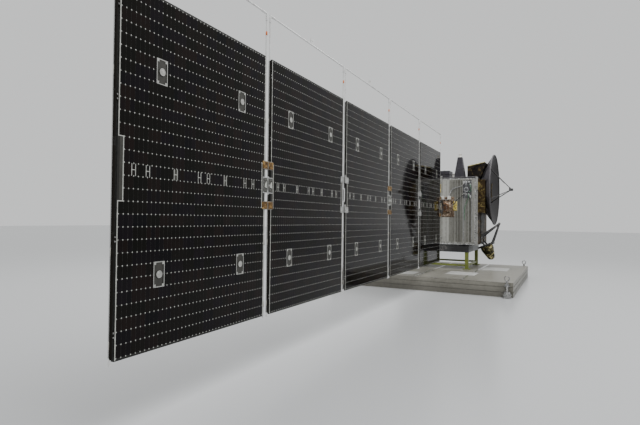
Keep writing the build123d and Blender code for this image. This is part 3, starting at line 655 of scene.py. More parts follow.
def latch_parts(reach_in):
    """A latch's dark cover, its grey ribs and rollers, and its bright crank, standing on the latch plate."""
    middle = reach_in(-0.007)
    cover = stamps(rectangle(*latch_cover), [(1.0, latch_thickness - 0.0005), (1.0, latch_thickness + 0.002),
                                             (0.97, latch_thickness + 0.003)], [(middle, latch_level)])
    base = latch_thickness + 0.003
    lever = stamps(latch_lever, [(1.0, base - 0.0005), (1.0, base + 0.003), (0.9, base + 0.004)],
                   [(middle, latch_level)])
    ribs = [stamps(rectangle(width, height), [(1.0, base - 0.0005), (1.0, base + 0.002)],
                   [(middle + along, latch_level + up)]) for along, up, width, height in latch_bars]
    ribs.append(stamps(polygon(0.0075, 16), [(scale, base + rise) for scale, rise in roller_shape],
                       [(middle + along, latch_level + up) for along, up in latch_rollers]))
    return cover, joined(ribs), lever


for number in panel_numbers:
    parts, covers, ribs, cranks = [], [], [], []
    for back in (False, True):
        face = panel_face(number, back)
        for reach_in, leaves in line_ends(number, back):
            if leaves:
                spots = [(reach_in(a), level + z) for level in hinge_levels for a, z in leaf_screws]
                parts.append(laid(screws(spots, leaf_thickness), face))
            else:
                spots = [(reach_in(a), latch_level + z) for a, z in latch_screws]
                parts.append(laid(screws(spots, latch_thickness), face))
                for pieces, piece in zip((covers, ribs, cranks), latch_parts(reach_in)):
                    pieces.append(laid(piece, face))
        if (number % 2 == 0) != back:
            coils = [swept(helix((-panel_gap / 2, hinge_rise, level + 0.036), spring_radius, spring_length,
                                 spring_turns), spring_wire, 5) for level in hinge_levels]
            points, tables = joined(coils)
            parts.append(laid((points[:, (0, 2, 1)], flipped(tables)), face))
    for kind, pieces, material in (("screws", parts, screw_steel), ("latch_covers", covers, latch_dark),
                                   ("latch_ribs", ribs, latch_grey), ("latch_cranks", cranks, latch_bright)):
        add_piece(f"near_{kind}_{number}", joined(pieces), material, f"near_panel_{number}")

# Hinge wraps: bags of orange-gold polyimide foil laced over the hinge roots, crumpled and
# shiny, one on each side of a hinge line so that the line can fold between them.
wrap_reach = 0.036                     # onto the panel, from its edge
wrap_over = 0.0435                     # over the gap
wrap_half = 0.037                      # up and down from the hinge's middle
wrap_rise = 0.0075
wrap_crumple = 0.0035


def crease_group():
    """Crumpled film: two nets of flat facets, coarse and fine, each facet a cone of distance from
    its own point, on places bent by a noise. Gives a height, and a tone of painted glints and shade:
    the two nets' random values for their facets, four parts coarse to six fine, mottled by the
    bending noise, so that each facet looks lit or shaded as if it caught the light its own way."""
    group, scale, target, place = new_group("film_creases", "Scale", "Height", "Painted_glint_tone")
    bend = add_node(group, "ShaderNodeTexNoise", place, None, 9.0, 5.0)
    bent = add_node(group, "ShaderNodeVectorMath", bend.outputs["Color"], (0.22, 0.22, 0.22),
                    operation="MULTIPLY")
    moved = add_node(group, "ShaderNodeVectorMath", place, bent.outputs[0], operation="ADD").outputs[0]
    pitches = (scale, calc(group, "MULTIPLY", scale, 2.7))
    coarse, fine = (add_node(group, "ShaderNodeTexVoronoi", moved, None, pitch) for pitch in pitches)
    small = calc(group, "MULTIPLY", fine.outputs["Distance"], 0.4)
    group.links.new(calc(group, "ADD", coarse.outputs["Distance"], small), target.inputs[0])
    large, little = (add_node(group, "ShaderNodeSeparateColor", net.outputs["Color"]).outputs[0]
                     for net in (coarse, fine))
    both = calc(group, "MULTIPLY_ADD", little, 0.6, calc(group, "MULTIPLY", large, 0.4))
    uneven = calc(group, "MULTIPLY_ADD", bend.outputs[0], 0.7, both)
    group.links.new(remap(group, uneven, 0.45, 1.20), target.inputs[1])
    return group


film_creases = crease_group()


def foil_material(name, stops, gloss, scale=22.0, metal=1.0, relief=0.006, strength=0.8, level=0.5):
    """Metal-coated film: each facet of the creases has its own place on the ramp of tones, as painted glints
    and shade; the brightest stops are painted glints.
    """
    material, tree, shader = new_material(name, Metallic=metal, Specular_IOR_Level=level)
    height, tone = add_group(tree, film_creases, scale)
    # Painted glints and shade: each facet's random tone picks a bright or a dark stop of the ramp.
    base_colour(tree, shader, ramp(tree, tone, *stops))
    vary_roughness(tree, shader, add_group(tree, mottle, scale / 3)[0], gloss - 0.08, gloss + 0.12)
    add_bump(tree, shader, height, strength, relief)
    return material


def crumple(points, seed, pitch, folds=16):
    """Sharp folds over points in space: the mean of zigzags, each along its own random direction
    with its own pitch and start, from 0 to 1."""
    random = np.random.default_rng(seed)
    directions = random.normal(size=(folds, 3))
    directions /= np.linalg.norm(directions, axis=1)[:, None]
    pitches = pitch * random.uniform(0.5, 2.0, folds)
    waves = np.abs((points @ directions.T / pitches + random.random(folds)) % 1.0 - 0.5) * 2
    return waves @ pitches / pitches.sum()


def grid_faces(rows_down, rows_across):
    """Quads of a grid whose points run fastest across."""
    down, across = np.meshgrid(np.arange(rows_down - 1), np.arange(rows_across - 1), indexing="ij")
    corner = (down * rows_across + across).ravel()
    return np.stack([corner, corner + rows_across, corner + rows_across + 1, corner + 1], 1)


def laid_film(u0, u1, z0, z1, rise, depth, seed, pitch, steps, sink=-0.001):
    """A crumpled sheet over a rectangle of a face: it stands off by the rise and the crumple times
    the depth, times a hem that climbs from 0 at the border to 1 a few steps in, and starts sunk."""
    u, z = np.meshgrid(np.linspace(u0, u1, steps[0]), np.linspace(z0, z1, steps[1]), indexing="ij")
    hem = np.minimum.reduce([u - u0, u1 - u, z - z0, z1 - z]) / (2.2 * (z1 - z0) / steps[1])
    flat = np.stack([u, z, np.zeros_like(u)], -1).reshape(-1, 3)
    body = sink + (rise - sink + depth * crumple(flat, seed, pitch)) * np.clip(hem, 0.0, 1.0).ravel() ** 0.6
    return np.stack([flat[:, 0], flat[:, 1], body], 1), [grid_faces(*steps)]


hinge_foil = foil_material("hinge_foil", (
    (0.0, (0.045, 0.022, 0.005)), (0.4, (0.120, 0.058, 0.012)), (0.8, (0.26, 0.140, 0.034)),
    (1.0, (0.62, 0.40, 0.15))), 0.30, 60.0, 0.7)
for number in panel_numbers:
    parts = []
    for back in (False, True):
        face = panel_face(number, back)
        for index, (reach_in, leaves) in enumerate(line_ends(number, back)):
            for level in () if leaves else hinge_levels:
                ends = sorted((reach_in(-wrap_over), reach_in(wrap_reach)))
                seed = int(number * 10 + index + (level > 0) * 5)
                parts.append(laid(laid_film(*ends, level - wrap_half, level + wrap_half, wrap_rise,
                                            wrap_crumple, seed, 0.016, (22, 26), -0.006), face))
    add_piece(f"near_wraps_{number}", joined(parts), hinge_foil, f"near_panel_{number}")

# Panel backs: flat harness ribbons of tan polyimide bonded along the wing at mid height, small
# strips of diodes, round potted inserts at the hold-down points, and a taped border.
ribbon_rows = ((0.062, 0.030), (0.100, 0.030), (-0.095, 0.024), (-0.128, 0.024))      # level, width
riser_spots = (0.18, 0.52, 0.86, 1.20)
riser_width = 0.016
riser_foot = 0.05
riser_top = 1.05
diode_size = (0.030, 0.011)
border_width = 0.014
border_rise = 0.0004
insert_shape = ((1.0, 0.0), (1.0, 0.0012), (0.8, 0.0016), (0.42, 0.0016), (0.38, 0.0004))
insert_radius = 0.024
rib_insert_radius = 0.007
ribbon_rise = 0.0010


def back_ribbons():
    """The ribbons along the wing and the risers up and down from them, as thin raised plates."""
    ends = (0.075, panel_width - 0.075)
    runs = [(*ends, level - width / 2, level + width / 2) for level, width in ribbon_rows]
    risers = [(u - riser_width / 2, u + riser_width / 2, *sorted((sign * riser_foot, sign * riser_top)))
              for u in riser_spots for sign in (-1, 1)]
    return joined([bars(runs, 0.0, ribbon_rise), bars(risers, 0.0, ribbon_rise * 0.6)])


def back_marks():
    """Potted inserts at the hold-down points and along the border, and two rows of diodes."""
    edge = np.linspace(0.03, panel_width - 0.03, 9)
    side = np.linspace(-panel_height / 2 + 0.03, panel_height / 2 - 0.03, 11)
    small = [(u, z) for u in edge for z in (side[0], side[-1])]
    small += [(u, z) for z in side[1:-1] for u in (edge[0], edge[-1])]
    return joined([stamps(polygon(insert_radius, 20), insert_shape, pocket_spots),
                   stamps(polygon(rib_insert_radius, 8), insert_shape, small)])


ribbon_film = worn_material("ribbon_film", (0.20, 0.085, 0.020), (0.34, 0.16, 0.045), (0.40, 0.22, 0.08),
                            0.30, 0.25)
border_tape = worn_material("border_tape", (0.030, 0.030, 0.031), (0.055, 0.054, 0.052), (0.09, 0.09, 0.09),
                            0.38)
diode_black = worn_material("diode_black", (0.015, 0.015, 0.016), (0.03, 0.03, 0.03), (0.06, 0.06, 0.06),
                            0.35, 0.0, 40.0)
ribbons, marks = back_ribbons(), back_marks()
diode_spots = [(u + 0.028, sign * z) for u in riser_spots for sign in (-1, 1)
               for z in np.arange(0.17, 1.0, 0.0772)]
diodes = stamps(rectangle(*diode_size), [(1.0, 0.0), (1.0, 0.0022), (0.9, 0.0028)], diode_spots)
half_high = panel_height / 2
border = bars(((0, panel_width, half_high - border_width, half_high),
               (0, panel_width, -half_high, border_width - half_high),
               (0, border_width, border_width - half_high, half_high - border_width),
               (panel_width - border_width, panel_width, border_width - half_high, half_high - border_width)),
              0.0, border_rise)
back_rows = (("ribbons", ribbons, ribbon_film, "copper_foil"),
             ("inserts", marks, fitting_alloy, "hinge_alloy"),
             ("back_border", border, border_tape, "cell_panel"),
             ("diodes", diodes, diode_black, "black_fitting"))
for number in panel_numbers:
    for kind, part, material, slot in back_rows:
        add_piece(f"near_{kind}_{number}", laid(part, panel_face(number, True)), material,
                  f"near_panel_{number}")

# Hoist frames: welded tube painted gloss white. Sleeves cover the corner joints, split clamps
# with two screws hold the panel's edges. Black foam on the outer upright and black boots over its
# clamps are partly foam and partly painted shade: they make that upright dark where shade falls
# in the gap between the panels. Tape bands and an orange mark show how it is rigged.
tube_radius = 0.008
tube_shape = ((0.0, 1.0), (0.0, 1.22), (0.004, 1.30), (0.052, 1.30), (0.056, 1.22), (0.056, 1.0))
band_shape = ((0.0, 1.0), (0.0, 1.05), (0.05, 1.06), (0.05, 1.0))
foam_shape = ((0.0, 1.0), (0.0, 1.25), (0.006, 1.40), (0.994, 1.40), (1.0, 1.25), (1.0, 1.0))
foam_runs = ((-1.120, -0.072), (0.082, 1.120))          # either side of the latch
foam_whole = ((-1.120, 1.120),)
foam_shift = 0.0031                    # towards the panel, so that the foam is thinnest outside
boot_size = (0.0115, 0.050)
clamp_levels = (0.980, 0.420, -0.420, -0.980)
clamp_half = 0.009
clamp_screws = ((0.0152, -0.013), (0.0152, 0.013))
frame_rise = 0.385
band_levels = (0.55, -0.52, -1.06)
frame_paint = worn_material("frame_paint", (0.66, 0.66, 0.65), (0.80, 0.80, 0.79), (0.42, 0.41, 0.39), 0.30,
                            0.0, 5.0, 70.0, 0.0002)
band_tape = worn_material("band_tape", (0.45, 0.44, 0.40), (0.58, 0.56, 0.52), (0.3, 0.3, 0.28), 0.45)
# Black for the foam and boots, and as painted shade on the outer upright.
foam_and_shade_black = worn_material("foam_and_shade_black", (0.006, 0.005, 0.004), (0.014, 0.012, 0.009), (0.03, 0.03, 0.03),
                           0.7, 0.0, 30.0, level=0.1)
mark_orange = worn_material("mark_orange", (0.62, 0.13, 0.02), (0.78, 0.20, 0.04), (0.4, 0.1, 0.03), 0.4)


def on_tube(shape, stretch=1.0, start=0.0):
    """A profile of (distance, radius in tube radii), stretched and moved along the tube."""
    return [(start + reach * stretch, radius * tube_radius) for reach, radius in shape]


for number in panel_numbers:
    name = f"near_frame_{number}"
    body = f"near_panel_{number}"
    finish_nodes(frame_paint, name)
    low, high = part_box(name)
    middle_x = (low.x + high.x) / 2
    bar_z = panel_high.z + frame_rise
    tubes = (high.y - tube_radius, low.y + tube_radius)
    sleeves = [lathe(on_tube(tube_shape, 1.0, 0.02),
                     (middle_x, y, bar_z + tube_radius * 1.4), (0, 0, -1), 16) for y in tubes]
    sleeves += [lathe(on_tube(tube_shape, 1.0, 0.02),
                      (middle_x, y, bar_z), (0, side, 0), 16) for y, side in zip(tubes, (-1, 1))]
    screws_here = []
    for y, side in zip(tubes, (-1, 1)):
        for level in clamp_levels:
            clamp = (np.array((middle_x + clamp_half, y, wing_height + level)), np.array((0, side, 0)),
                     np.array((1, 0, 0)))
            base = 0.0015 if side > 0 else 0.0
            screws_here.append(laid(screws(clamp_screws, base, small_screw), clamp))
    bands = [lathe(on_tube(band_shape),
                   (middle_x, y, wing_height + level), (0, 0, 1), 16) for y in tubes for level in band_levels]
    # Partly painted shade: a black sleeve that darkens the outer upright.
    foam = [lathe(on_tube(foam_shape, top - bottom),
                  (middle_x, tubes[1] + foam_shift, wing_height + bottom), (0, 0, 1), 16)
            for bottom, top in (foam_runs if number < 5 else foam_whole)]
    # Partly painted shade: black boots that cover the white clamps on the outer upright.
    boot_face = end_plane(1, middle_x, tubes[1], wing_height)
    shade_boots = laid(stamps(rectangle(*boot_size), [(1.0, -0.0105), (1.0, 0.0105)],
                        [(0.0142, level) for level in clamp_levels]), boot_face)
    add_piece(f"near_foam_{number}", joined(foam), foam_and_shade_black, body, True)
    add_piece(f"near_boots_{number}", shade_boots, foam_and_shade_black, body)
    mark = lathe(on_tube(band_shape, 0.7),
                 (middle_x, tubes[0], bar_z - 0.16), (0, 0, -1), 16)
    shackle = swept(np.array([(middle_x, (tubes[0] + tubes[1]) / 2 + 0.013 * math.sin(turn),
                               high.z - 0.024 + 0.016 * math.cos(turn))
                              for turn in np.linspace(0.0, 2 * math.pi, 25)]), 0.0030, 8, (1.0, 0.0, 0.0))
    add_piece(f"near_sleeves_{number}", joined(sleeves), frame_paint, body, True)
    add_piece(f"near_clamp_screws_{number}", joined([*screws_here, shackle]), screw_steel, body)
    add_piece(f"near_bands_{number}", joined(bands), band_tape, body, True)
    add_piece(f"near_mark_{number}", mark, mark_orange, body, True)

# Wing drives and yoke: a yoke of moulded carbon screwed along its edges, hubs of bronzed alloy, and
# motor housings wrapped in copper-coloured film, gathered round the neck and taped to the bus.
drive_axis = (0.140, 1.570)            # X and Z of the turning axis
skirt_shape = ((0.016, 0.155), (0.030, 0.148), (0.046, 0.128), (0.060, 0.104), (0.072, 0.094),
               (0.078, 0.0885))
skirt_steps = (26, 72)
skirt_crumple = 0.010
neck_band_shape = ((0.066, 0.0895), (0.066, 0.0975), (0.078, 0.0975), (0.078, 0.0895))
hub_screw_ring = 0.056
yoke_screws = 14


def gathered(profile, start, direction, steps, depth, seed, pitch):
    """A film skirt: the profile (distance, radius) turned about a line and resampled evenly, its
    radius raised by the crumple times the depth, fading to nothing at both hems."""
    profile = np.asarray(profile, float)
    along = np.concatenate([[0.0], np.cumsum(np.linalg.norm(np.diff(profile, axis=0), axis=1))])
    places = np.linspace(0.0, along[-1], steps[0])
    distance, radius = (np.interp(places, along, profile[:, column]) for column in (0, 1))
    points, tables = lathe(np.stack([distance, radius], 1), (0, 0, 0), direction, steps[1])
    axis = np.asarray(direction, float) / np.linalg.norm(direction)
    outward = points - (points @ axis)[:, None] * axis
    outward /= np.maximum(np.linalg.norm(outward, axis=1), 1e-6)[:, None]
    hem = np.clip(np.minimum(places, along[-1] - places) / (0.12 * along[-1]), 0.0, 1.0)
    lift = depth * crumple(points, seed, pitch) * np.repeat(hem, steps[1])
    return np.asarray(start) + points + lift[:, None] * outward, tables[:1]


copper_foil = foil_material("copper_foil", (
    (0.0, (0.040, 0.026, 0.018)), (0.45, (0.125, 0.084, 0.056)), (0.85, (0.27, 0.19, 0.13)),
    (1.0, (0.56, 0.46, 0.35))), 0.34, 34.0, 0.8)
yoke_carbon = carbon_material("yoke_carbon", (0.014, 0.014, 0.015), (0.034, 0.033, 0.033), 0.36, 900.0)
hub_bronze = worn_material("hub_bronze", (0.16, 0.085, 0.045), (0.30, 0.17, 0.10), (0.5, 0.4, 0.3), 0.28, 1.0,
                           14.0)
sides = {"near": -1, "far": 1}
end_sides = {"rear": -1, "dish": 1}
side_y = 0.635
hub_start = 0.7153
hub_plate = 0.024
finish_nodes(yoke_carbon, "near_yoke")
for name, side in sides.items():
    finish_nodes(copper_foil, f"{name}_drive_housing")
    finish_nodes(hub_bronze, f"{name}_drive_hub")
    foot = (drive_axis[0], side * side_y, drive_axis[1])
    skirt = gathered(skirt_shape, foot, (0, side, 0), skirt_steps, skirt_crumple, 31 + side, 0.03)
    flange_low, flange_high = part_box(f"{name}_drive_housing")
    width = flange_high.x - flange_low.x
    flange_face = side_plane(side, flange_low.x, side * (side_y + 0.014), drive_axis[1])
    apron = laid(laid_film(0.004, width - 0.004, -width / 2 + 0.004, width / 2 - 0.004, 0.004, 0.010,
                           41 + side, 0.045, (44, 44)), flange_face)
    add_piece(f"{name}_drive_wrap", joined([skirt, apron]), copper_foil, "root")
    band = lathe(neck_band_shape, foot, (0, side, 0), 40)
    add_piece(f"{name}_drive_band", band, hub_bronze, "root", True)
    turn = 2 * np.pi * np.arange(10) / 10
    hub_face = side_plane(side, drive_axis[0], side * (hub_start + hub_plate), drive_axis[1])
    hub_spots = np.stack([hub_screw_ring * np.cos(turn), hub_screw_ring * np.sin(turn)], 1)
    add_piece(f"{name}_hub_screws", laid(screws(hub_spots, 0.0), hub_face), screw_steel, f"{name}_arm")
yoke_low, yoke_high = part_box("near_yoke")
yoke_face = end_plane(1, yoke_high.x - 0.006, yoke_low.y, wing_height)
edge_z = np.linspace(-0.187, 0.195, yoke_screws)
yoke_spots = [(0.017, z) for z in edge_z] + [(0.055 + 0.02 * step, 0.190 - 0.0078 * step)
                                             for step in range(9)]
add_piece("near_yoke_screws", laid(screws(yoke_spots, 0.0, 0.004), yoke_face), screw_steel, "near_yoke")

# Radiators: aluminium plates faced with rows of second-surface mirror tiles between the heat-pipe
# ribs, screwed along every rib. The tiles give the side of the bus its streaked silver look.
bus_low, bus_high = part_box("bus_body")
radiator_low, radiator_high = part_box("radiators")
rib_pitch = 0.058
rib_width = 0.009
plate_y = 0.643
tile_size = (0.0235, 0.0385)
tile_gap = 0.0008
tile_rise = 0.0005
tile_tilt = 0.00003
window_half = 0.158
rib_screw_pitch = 0.1305
radiator_ribs = int((radiator_high.x - radiator_low.x - rib_width) // rib_pitch) + 1
rib_places = (np.arange(radiator_ribs) - (radiator_ribs - 1) / 2) * rib_pitch


def radiator_tiles(side, seed):
    """Thin square-edged tiles, two across between each two ribs, each tipped by its own hair."""
    random = np.random.default_rng(seed)
    pair = np.array((-0.5, 0.5)) * (tile_size[0] + tile_gap)
    across = (rib_places[:-1, None] + rib_pitch / 2 + pair).ravel()
    pitch = tile_size[1] + tile_gap
    up = np.arange(radiator_low.z + 0.03 + pitch / 2, radiator_high.z - 0.02, pitch)
    spots = np.stack(np.meshgrid(across, up, indexing="ij"), -1).reshape(-1, 2)
    window = (np.abs(spots[:, 0] - drive_axis[0]) < window_half + 0.012) & (
        np.abs(spots[:, 1] - drive_axis[1]) < window_half + 0.02)
    spots = spots[~window]
    points, tables = stamps(rectangle(*tile_size), [(1.0, 0.0), (1.0, tile_rise)], spots)
    stack = points.reshape(len(spots), 2, 4, 3)
    tilt = random.normal(0.0, tile_tilt, (len(spots), 2))
    stack[:, 1, :, 2] += tilt[:, :1] * (-1, 1, 1, -1) + tilt[:, 1:] * (-1, -1, 1, 1)
    face = side_plane(side, 0, side * plate_y, 0)
    return laid((points, tables), face), random.random(len(spots))


radiator_finish, tree, shader = new_material("radiator_finish", Metallic=0.4)
axes = object_axes(tree)
stretched = add_node(tree, "ShaderNodeCombineXYZ", axes[0], axes[1],
                     remap(tree, axes[2], 0.0, 1.0, 0.0, 0.06))
streaks = noise(tree, stretched.outputs[0], 34.0, 4.0)
base_colour(tree, shader, ramp(tree, streaks, (0.36, (0.22, 0.215, 0.195)), (0.5, (0.34, 0.335, 0.31)),
                               (0.64, (0.50, 0.495, 0.46))))
vary_roughness(tree, shader, streaks, 0.30, 0.55)
tile_mirror, tree, shader = new_material("tile_mirror", Metallic=0.5, Coat_Weight=0.1, Coat_Roughness=0.1)
tile_value = add_node(tree, "ShaderNodeAttribute", attribute_name="tile").outputs["Fac"]
axes = object_axes(tree)
tile_line = add_node(tree, "ShaderNodeCombineXYZ", axes[0], None, remap(tree, axes[2], 0.0, 1.0, 0.0, 0.03))
striped = calc(tree, "MULTIPLY_ADD", tile_value, 0.08, noise(tree, tile_line.outputs[0], 16.0, 2.0))
base_colour(tree, shader, ramp(tree, striped, (0.38, (0.14, 0.135, 0.115)), (0.53, (0.27, 0.265, 0.235)),
                               (0.68, (0.46, 0.455, 0.42))))
vary_roughness(tree, shader, tile_value, 0.28, 0.40)
finish_nodes(radiator_finish, "radiators")
for name, side in sides.items():
    tiles, values = radiator_tiles(side, 61 + side)
    piece = add_piece(f"{name}_tiles", tiles, tile_mirror, "root")
    plate_values(piece, "tile", values, 4)
    rib_spots = [(x, z) for x in rib_places for z in np.arange(radiator_low.z + 0.04, radiator_high.z,
                                                               rib_screw_pitch)
                 if abs(x - drive_axis[0]) > window_half or abs(z - drive_axis[1]) > window_half + 0.01]
    face = side_plane(side, 0, side * plate_y, 0)
    heads = stamps(polygon(small_screw, 6), [(1.0, 0.004), (1.0, 0.0058), (0.6, 0.0062)], rib_spots)
    add_piece(f"{name}_rib_screws", laid(heads, face), screw_steel, "root")

# Corner posts and hold-down posts: polished alloy angles riveted to the panels, and turned
# titanium posts on screwed foot plates, with a cup that a folded panel's bush would rest in.
post_alloy = worn_material("post_alloy", (0.36, 0.355, 0.335), (0.50, 0.495, 0.47), (0.62, 0.62, 0.60), 0.30,
                           0.7, 10.0)
finish_nodes(post_alloy, "corner_posts", "hold_down_posts")
post_spots = ((0.0617, 0.914, 0.647), (0.0617, 2.226, 0.647), (-0.7817, 0.914, 0.639),
              (-0.7817, 2.226, 0.639))
post_end = 0.820                       # cup, short of the near wing's back when that is folded
post_foot = (0.034, 0.010)
foot_down, foot_up = 0.045, 0.036      # foot plate's ends, from the post's axis
foot_limit = 2.110                     # highest lower end of a foot plate
near_posts, foot_screws = [], []
for x, z, seat in post_spots:
    foot_low, foot_high = min(z - foot_down, foot_limit), z + foot_up
    length = post_end - seat
    shape = ((0.008, 0.016), (length - 0.012, 0.011), (length - 0.012, 0.020), (length, 0.020),
             (length, 0.013), (length - 0.006, 0.010))
    near_face = side_plane(-1, x, -seat, (foot_low + foot_high) / 2)
    near_posts.append(laid(stamps(rectangle(post_foot[0], foot_high - foot_low),
                                  [(1.0, 0.0), (1.0, post_foot[1])], [(0.0, 0.0)]), near_face))
    near_posts.append(lathe(shape, (x, -seat, z), (0, -1, 0), 20))
    for side in sides.values():
        foot_face = side_plane(side, x, side * (seat + post_foot[1]), 0.0)
        spots = [(dx, spot_z) for dx in (-0.011, 0.011) for spot_z in (foot_low + 0.009, foot_high - 0.009)]
        foot_screws.append(laid(screws(spots, 0.0, small_screw), foot_face))
add_piece("near_posts", joined(near_posts), post_alloy, "root")
add_piece("post_screws", joined(foot_screws), screw_steel, "root")
rivet_shape = [(1.0, 0.0), (0.94, 0.0008), (0.7, 0.0016), (0.3, 0.0020)]
corner_plane = (0.824, 0.639)          # outer faces of the corner posts, from the bus's middle
rivet_line = (0.800, 0.615)
rivet_pitch = 0.055
rivet_radius = 0.0030
post_faces = []
for sx in (-1, 1):
    for sy in (-1, 1):
        rows_up = np.arange(bus_low.z + 0.05, bus_high.z, rivet_pitch)
        side_face = side_plane(sy, 0, sy * corner_plane[1], 0)
        end_face = end_plane(sx, sx * corner_plane[0], 0, 0)
        post_faces.append(laid(stamps(polygon(rivet_radius, 8), rivet_shape,
                                      [(sx * rivet_line[0], z) for z in rows_up]), side_face))
        post_faces.append(laid(stamps(polygon(rivet_radius, 8), rivet_shape,
                                      [(sy * rivet_line[1], z) for z in rows_up]), end_face))
add_piece("post_rivets", joined(post_faces), post_alloy, "root")

# End panels and deck: blankets of crinkled film, bronze with black patches on the ends, black on
# the top deck, silver below, held by dark tape along their edges.
blanket_rise = 0.0035
end_depth = 0.009
deck_depth = 0.006
deck_z = 2.220
under_z = 0.770
end_x = 0.820                          # outer face of each end panel
end_half = 0.586                       # half the width of an end blanket


def wrapped(outline, low, high, frame_axes, steps, depth, seed, pitch, taper=1.0, rise=0.0):
    """A crumpled film sleeve, closed at both ends: an outline (two-way) resampled evenly and carried
    from low to high, shrunk evenly to the taper, its points moved off along their own outward
    direction by the rise and the crumple times the depth. The ends are rings shrunk to the middle."""
    outline = np.asarray(outline, float)
    closed = np.concatenate([outline, outline[:1]])
    run = np.concatenate([[0.0], np.cumsum(np.linalg.norm(np.diff(closed, axis=0), axis=1))])
    even = np.linspace(0.0, run[-1], steps[0] - len(outline), endpoint=False) + 1e-4
    spots = np.sort(np.concatenate([run[:-1], even]))
    loop = np.stack([np.interp(spots, run, closed[:, column]) for column in (0, 1)], 1)
    middle = outline.mean(0)
    ahead = np.roll(loop, -1, 0) - np.roll(loop, 1, 0)
    normal = np.stack([ahead[:, 1], -ahead[:, 0]], 1)
    normal /= np.linalg.norm(normal, axis=1)[:, None]
    along = np.linspace(0.0, 1.0, steps[1])
    shrink = 1.0 + (taper - 1.0) * along
    caps = np.linspace(0.04, 0.96, steps[2])
    scale = np.concatenate([shrink[0] * caps, shrink, shrink[-1] * caps[::-1]])
    place = low + (high - low) * np.concatenate([np.zeros(steps[2]), along, np.ones(steps[2])])
    flat = np.concatenate([np.zeros(steps[2]), np.ones(steps[1]), np.zeros(steps[2])])
    end = np.concatenate([-np.ones(steps[2] + 1), np.zeros(steps[1] - 2), np.ones(steps[2] + 1)])
    ring = middle + scale[:, None, None] * (loop - middle)
    lengthways = [np.broadcast_to(column[:, None, None], ring.shape[:2] + (1,)) for column in (end, place)]
    out = np.concatenate([flat[:, None, None] * normal, lengthways[0]], 2)
    points = np.concatenate([ring, lengthways[1]], 2)
    lift = rise + depth * crumple(points.reshape(-1, 3), seed, pitch)
    moved = points.reshape(-1, 3) + lift[:, None] * out.reshape(-1, 3)
    placed = moved @ np.asarray(frame_axes, float)
    tables = tube_faces(len(scale), len(loop))
    if np.linalg.det(np.asarray(frame_axes, float)) < 0:
        tables = flipped(tables)
    return placed, tables


bronze_foil = foil_material("bronze_foil", (
    (0.0, (0.010, 0.007, 0.005)), (0.42, (0.030, 0.020, 0.012)), (0.80, (0.068, 0.044, 0.021)),
    (1.0, (0.20, 0.145, 0.062))), 0.44, 16.0, 0.0, level=0.06)
black_foil = foil_material("black_foil", (
    (0.0, (0.006, 0.005, 0.005)), (0.62, (0.020, 0.017, 0.015)), (0.90, (0.034, 0.026, 0.016)),
    (1.0, (0.15, 0.11, 0.05))), 0.40, 18.0, 0.0, level=0.06)
silver_foil = foil_material("silver_foil", (
    (0.0, (0.30, 0.30, 0.30)), (0.6, (0.55, 0.55, 0.54)), (1.0, (0.86, 0.86, 0.85))), 0.22, 20.0)
black_blanket = foil_material("black_blanket", ((0.0, (0.010, 0.009, 0.012)), (0.7, (0.020, 0.018, 0.023)),
                                                (1.0, (0.045, 0.041, 0.050))), 0.36, 12.0, 0.25, 0.004, 0.5)
deck_tape = worn_material("deck_tape", (0.020, 0.018, 0.020), (0.042, 0.038, 0.040), (0.10, 0.09, 0.08), 0.36,
                          0.2, 30.0)
finish_nodes(bronze_foil, "end_panels")
finish_nodes(silver_foil, "bus_body")
finish_nodes(black_blanket, "top_deck")
finish_nodes(silver_foil, "bottom_deck")
for name, side in end_sides.items():
    face = end_plane(side, side * end_x, 0, 0)
    sheets = [laid(laid_film(y0, y1, z0, z1, blanket_rise, end_depth, seed, 0.12, steps), face)
              for seed, (y0, y1, z0, z1, steps) in enumerate((
                  (-end_half, end_half, 0.79, 1.28, (110, 48)), (-end_half, end_half, 1.27, 1.80, (110, 52)),
                  (-end_half, end_half, 1.79, 2.195, (110, 40))), 70 + 5 * side)]
    add_piece(f"{name}_end_blanket", joined(sheets), bronze_foil, "root")
    patch = laid_film(-0.30, 0.10, 0.86, 1.62, blanket_rise + 0.007, end_depth, 91 + side, 0.10, (40, 70))
    add_piece(f"{name}_end_patch", laid(patch, face), black_foil, "root")


def plan_middle(low, high):
    """The middle of a box in X and Y."""
    return (low.x + high.x) / 2, (low.y + high.y) / 2


def on_deck(part, height=deck_z):
    """Points (along X, across Y, up) set on a level face."""
    points, tables = part
    return points + (0, 0, height), tables


deck_quilt = joined([on_deck(laid_film(x0, x1, y0, y1, blanket_rise, deck_depth, seed, 0.11, steps))
                     for seed, (x0, x1, y0, y1, steps) in enumerate((
                         (-0.812, -0.30, -0.628, 0.628, (48, 110)), (-0.31, 0.22, -0.628, 0.628, (48, 110)),
                         (0.21, 0.812, -0.628, 0.628, (54, 110))), 51)])
add_piece("deck_blanket", deck_quilt, black_blanket, "root")
tape_rows = ((-0.815, 0.815, -0.633, -0.598), (-0.815, 0.815, 0.598, 0.633), (-0.32, -0.29, -0.60, 0.60),
             (0.20, 0.23, -0.60, 0.60))
deck_tapes = joined([on_deck(laid_film(x0, x1, y0, y1, 0.011, 0.002, 57, 0.05, steps))
                     for (x0, x1, y0, y1), steps in zip(tape_rows, ((160, 5), (160, 5), (5, 120), (5, 120)))])
add_piece("deck_tapes", deck_tapes, deck_tape, "root")
under_points, under_tables = laid_film(-0.80, 0.80, -0.62, 0.62, 0.002, 0.005, 58, 0.12, (110, 90))
add_piece("under_blanket", (under_points * (1, 1, -1) + (0, 0, under_z), flipped(under_tables)),
          silver_foil, "root")

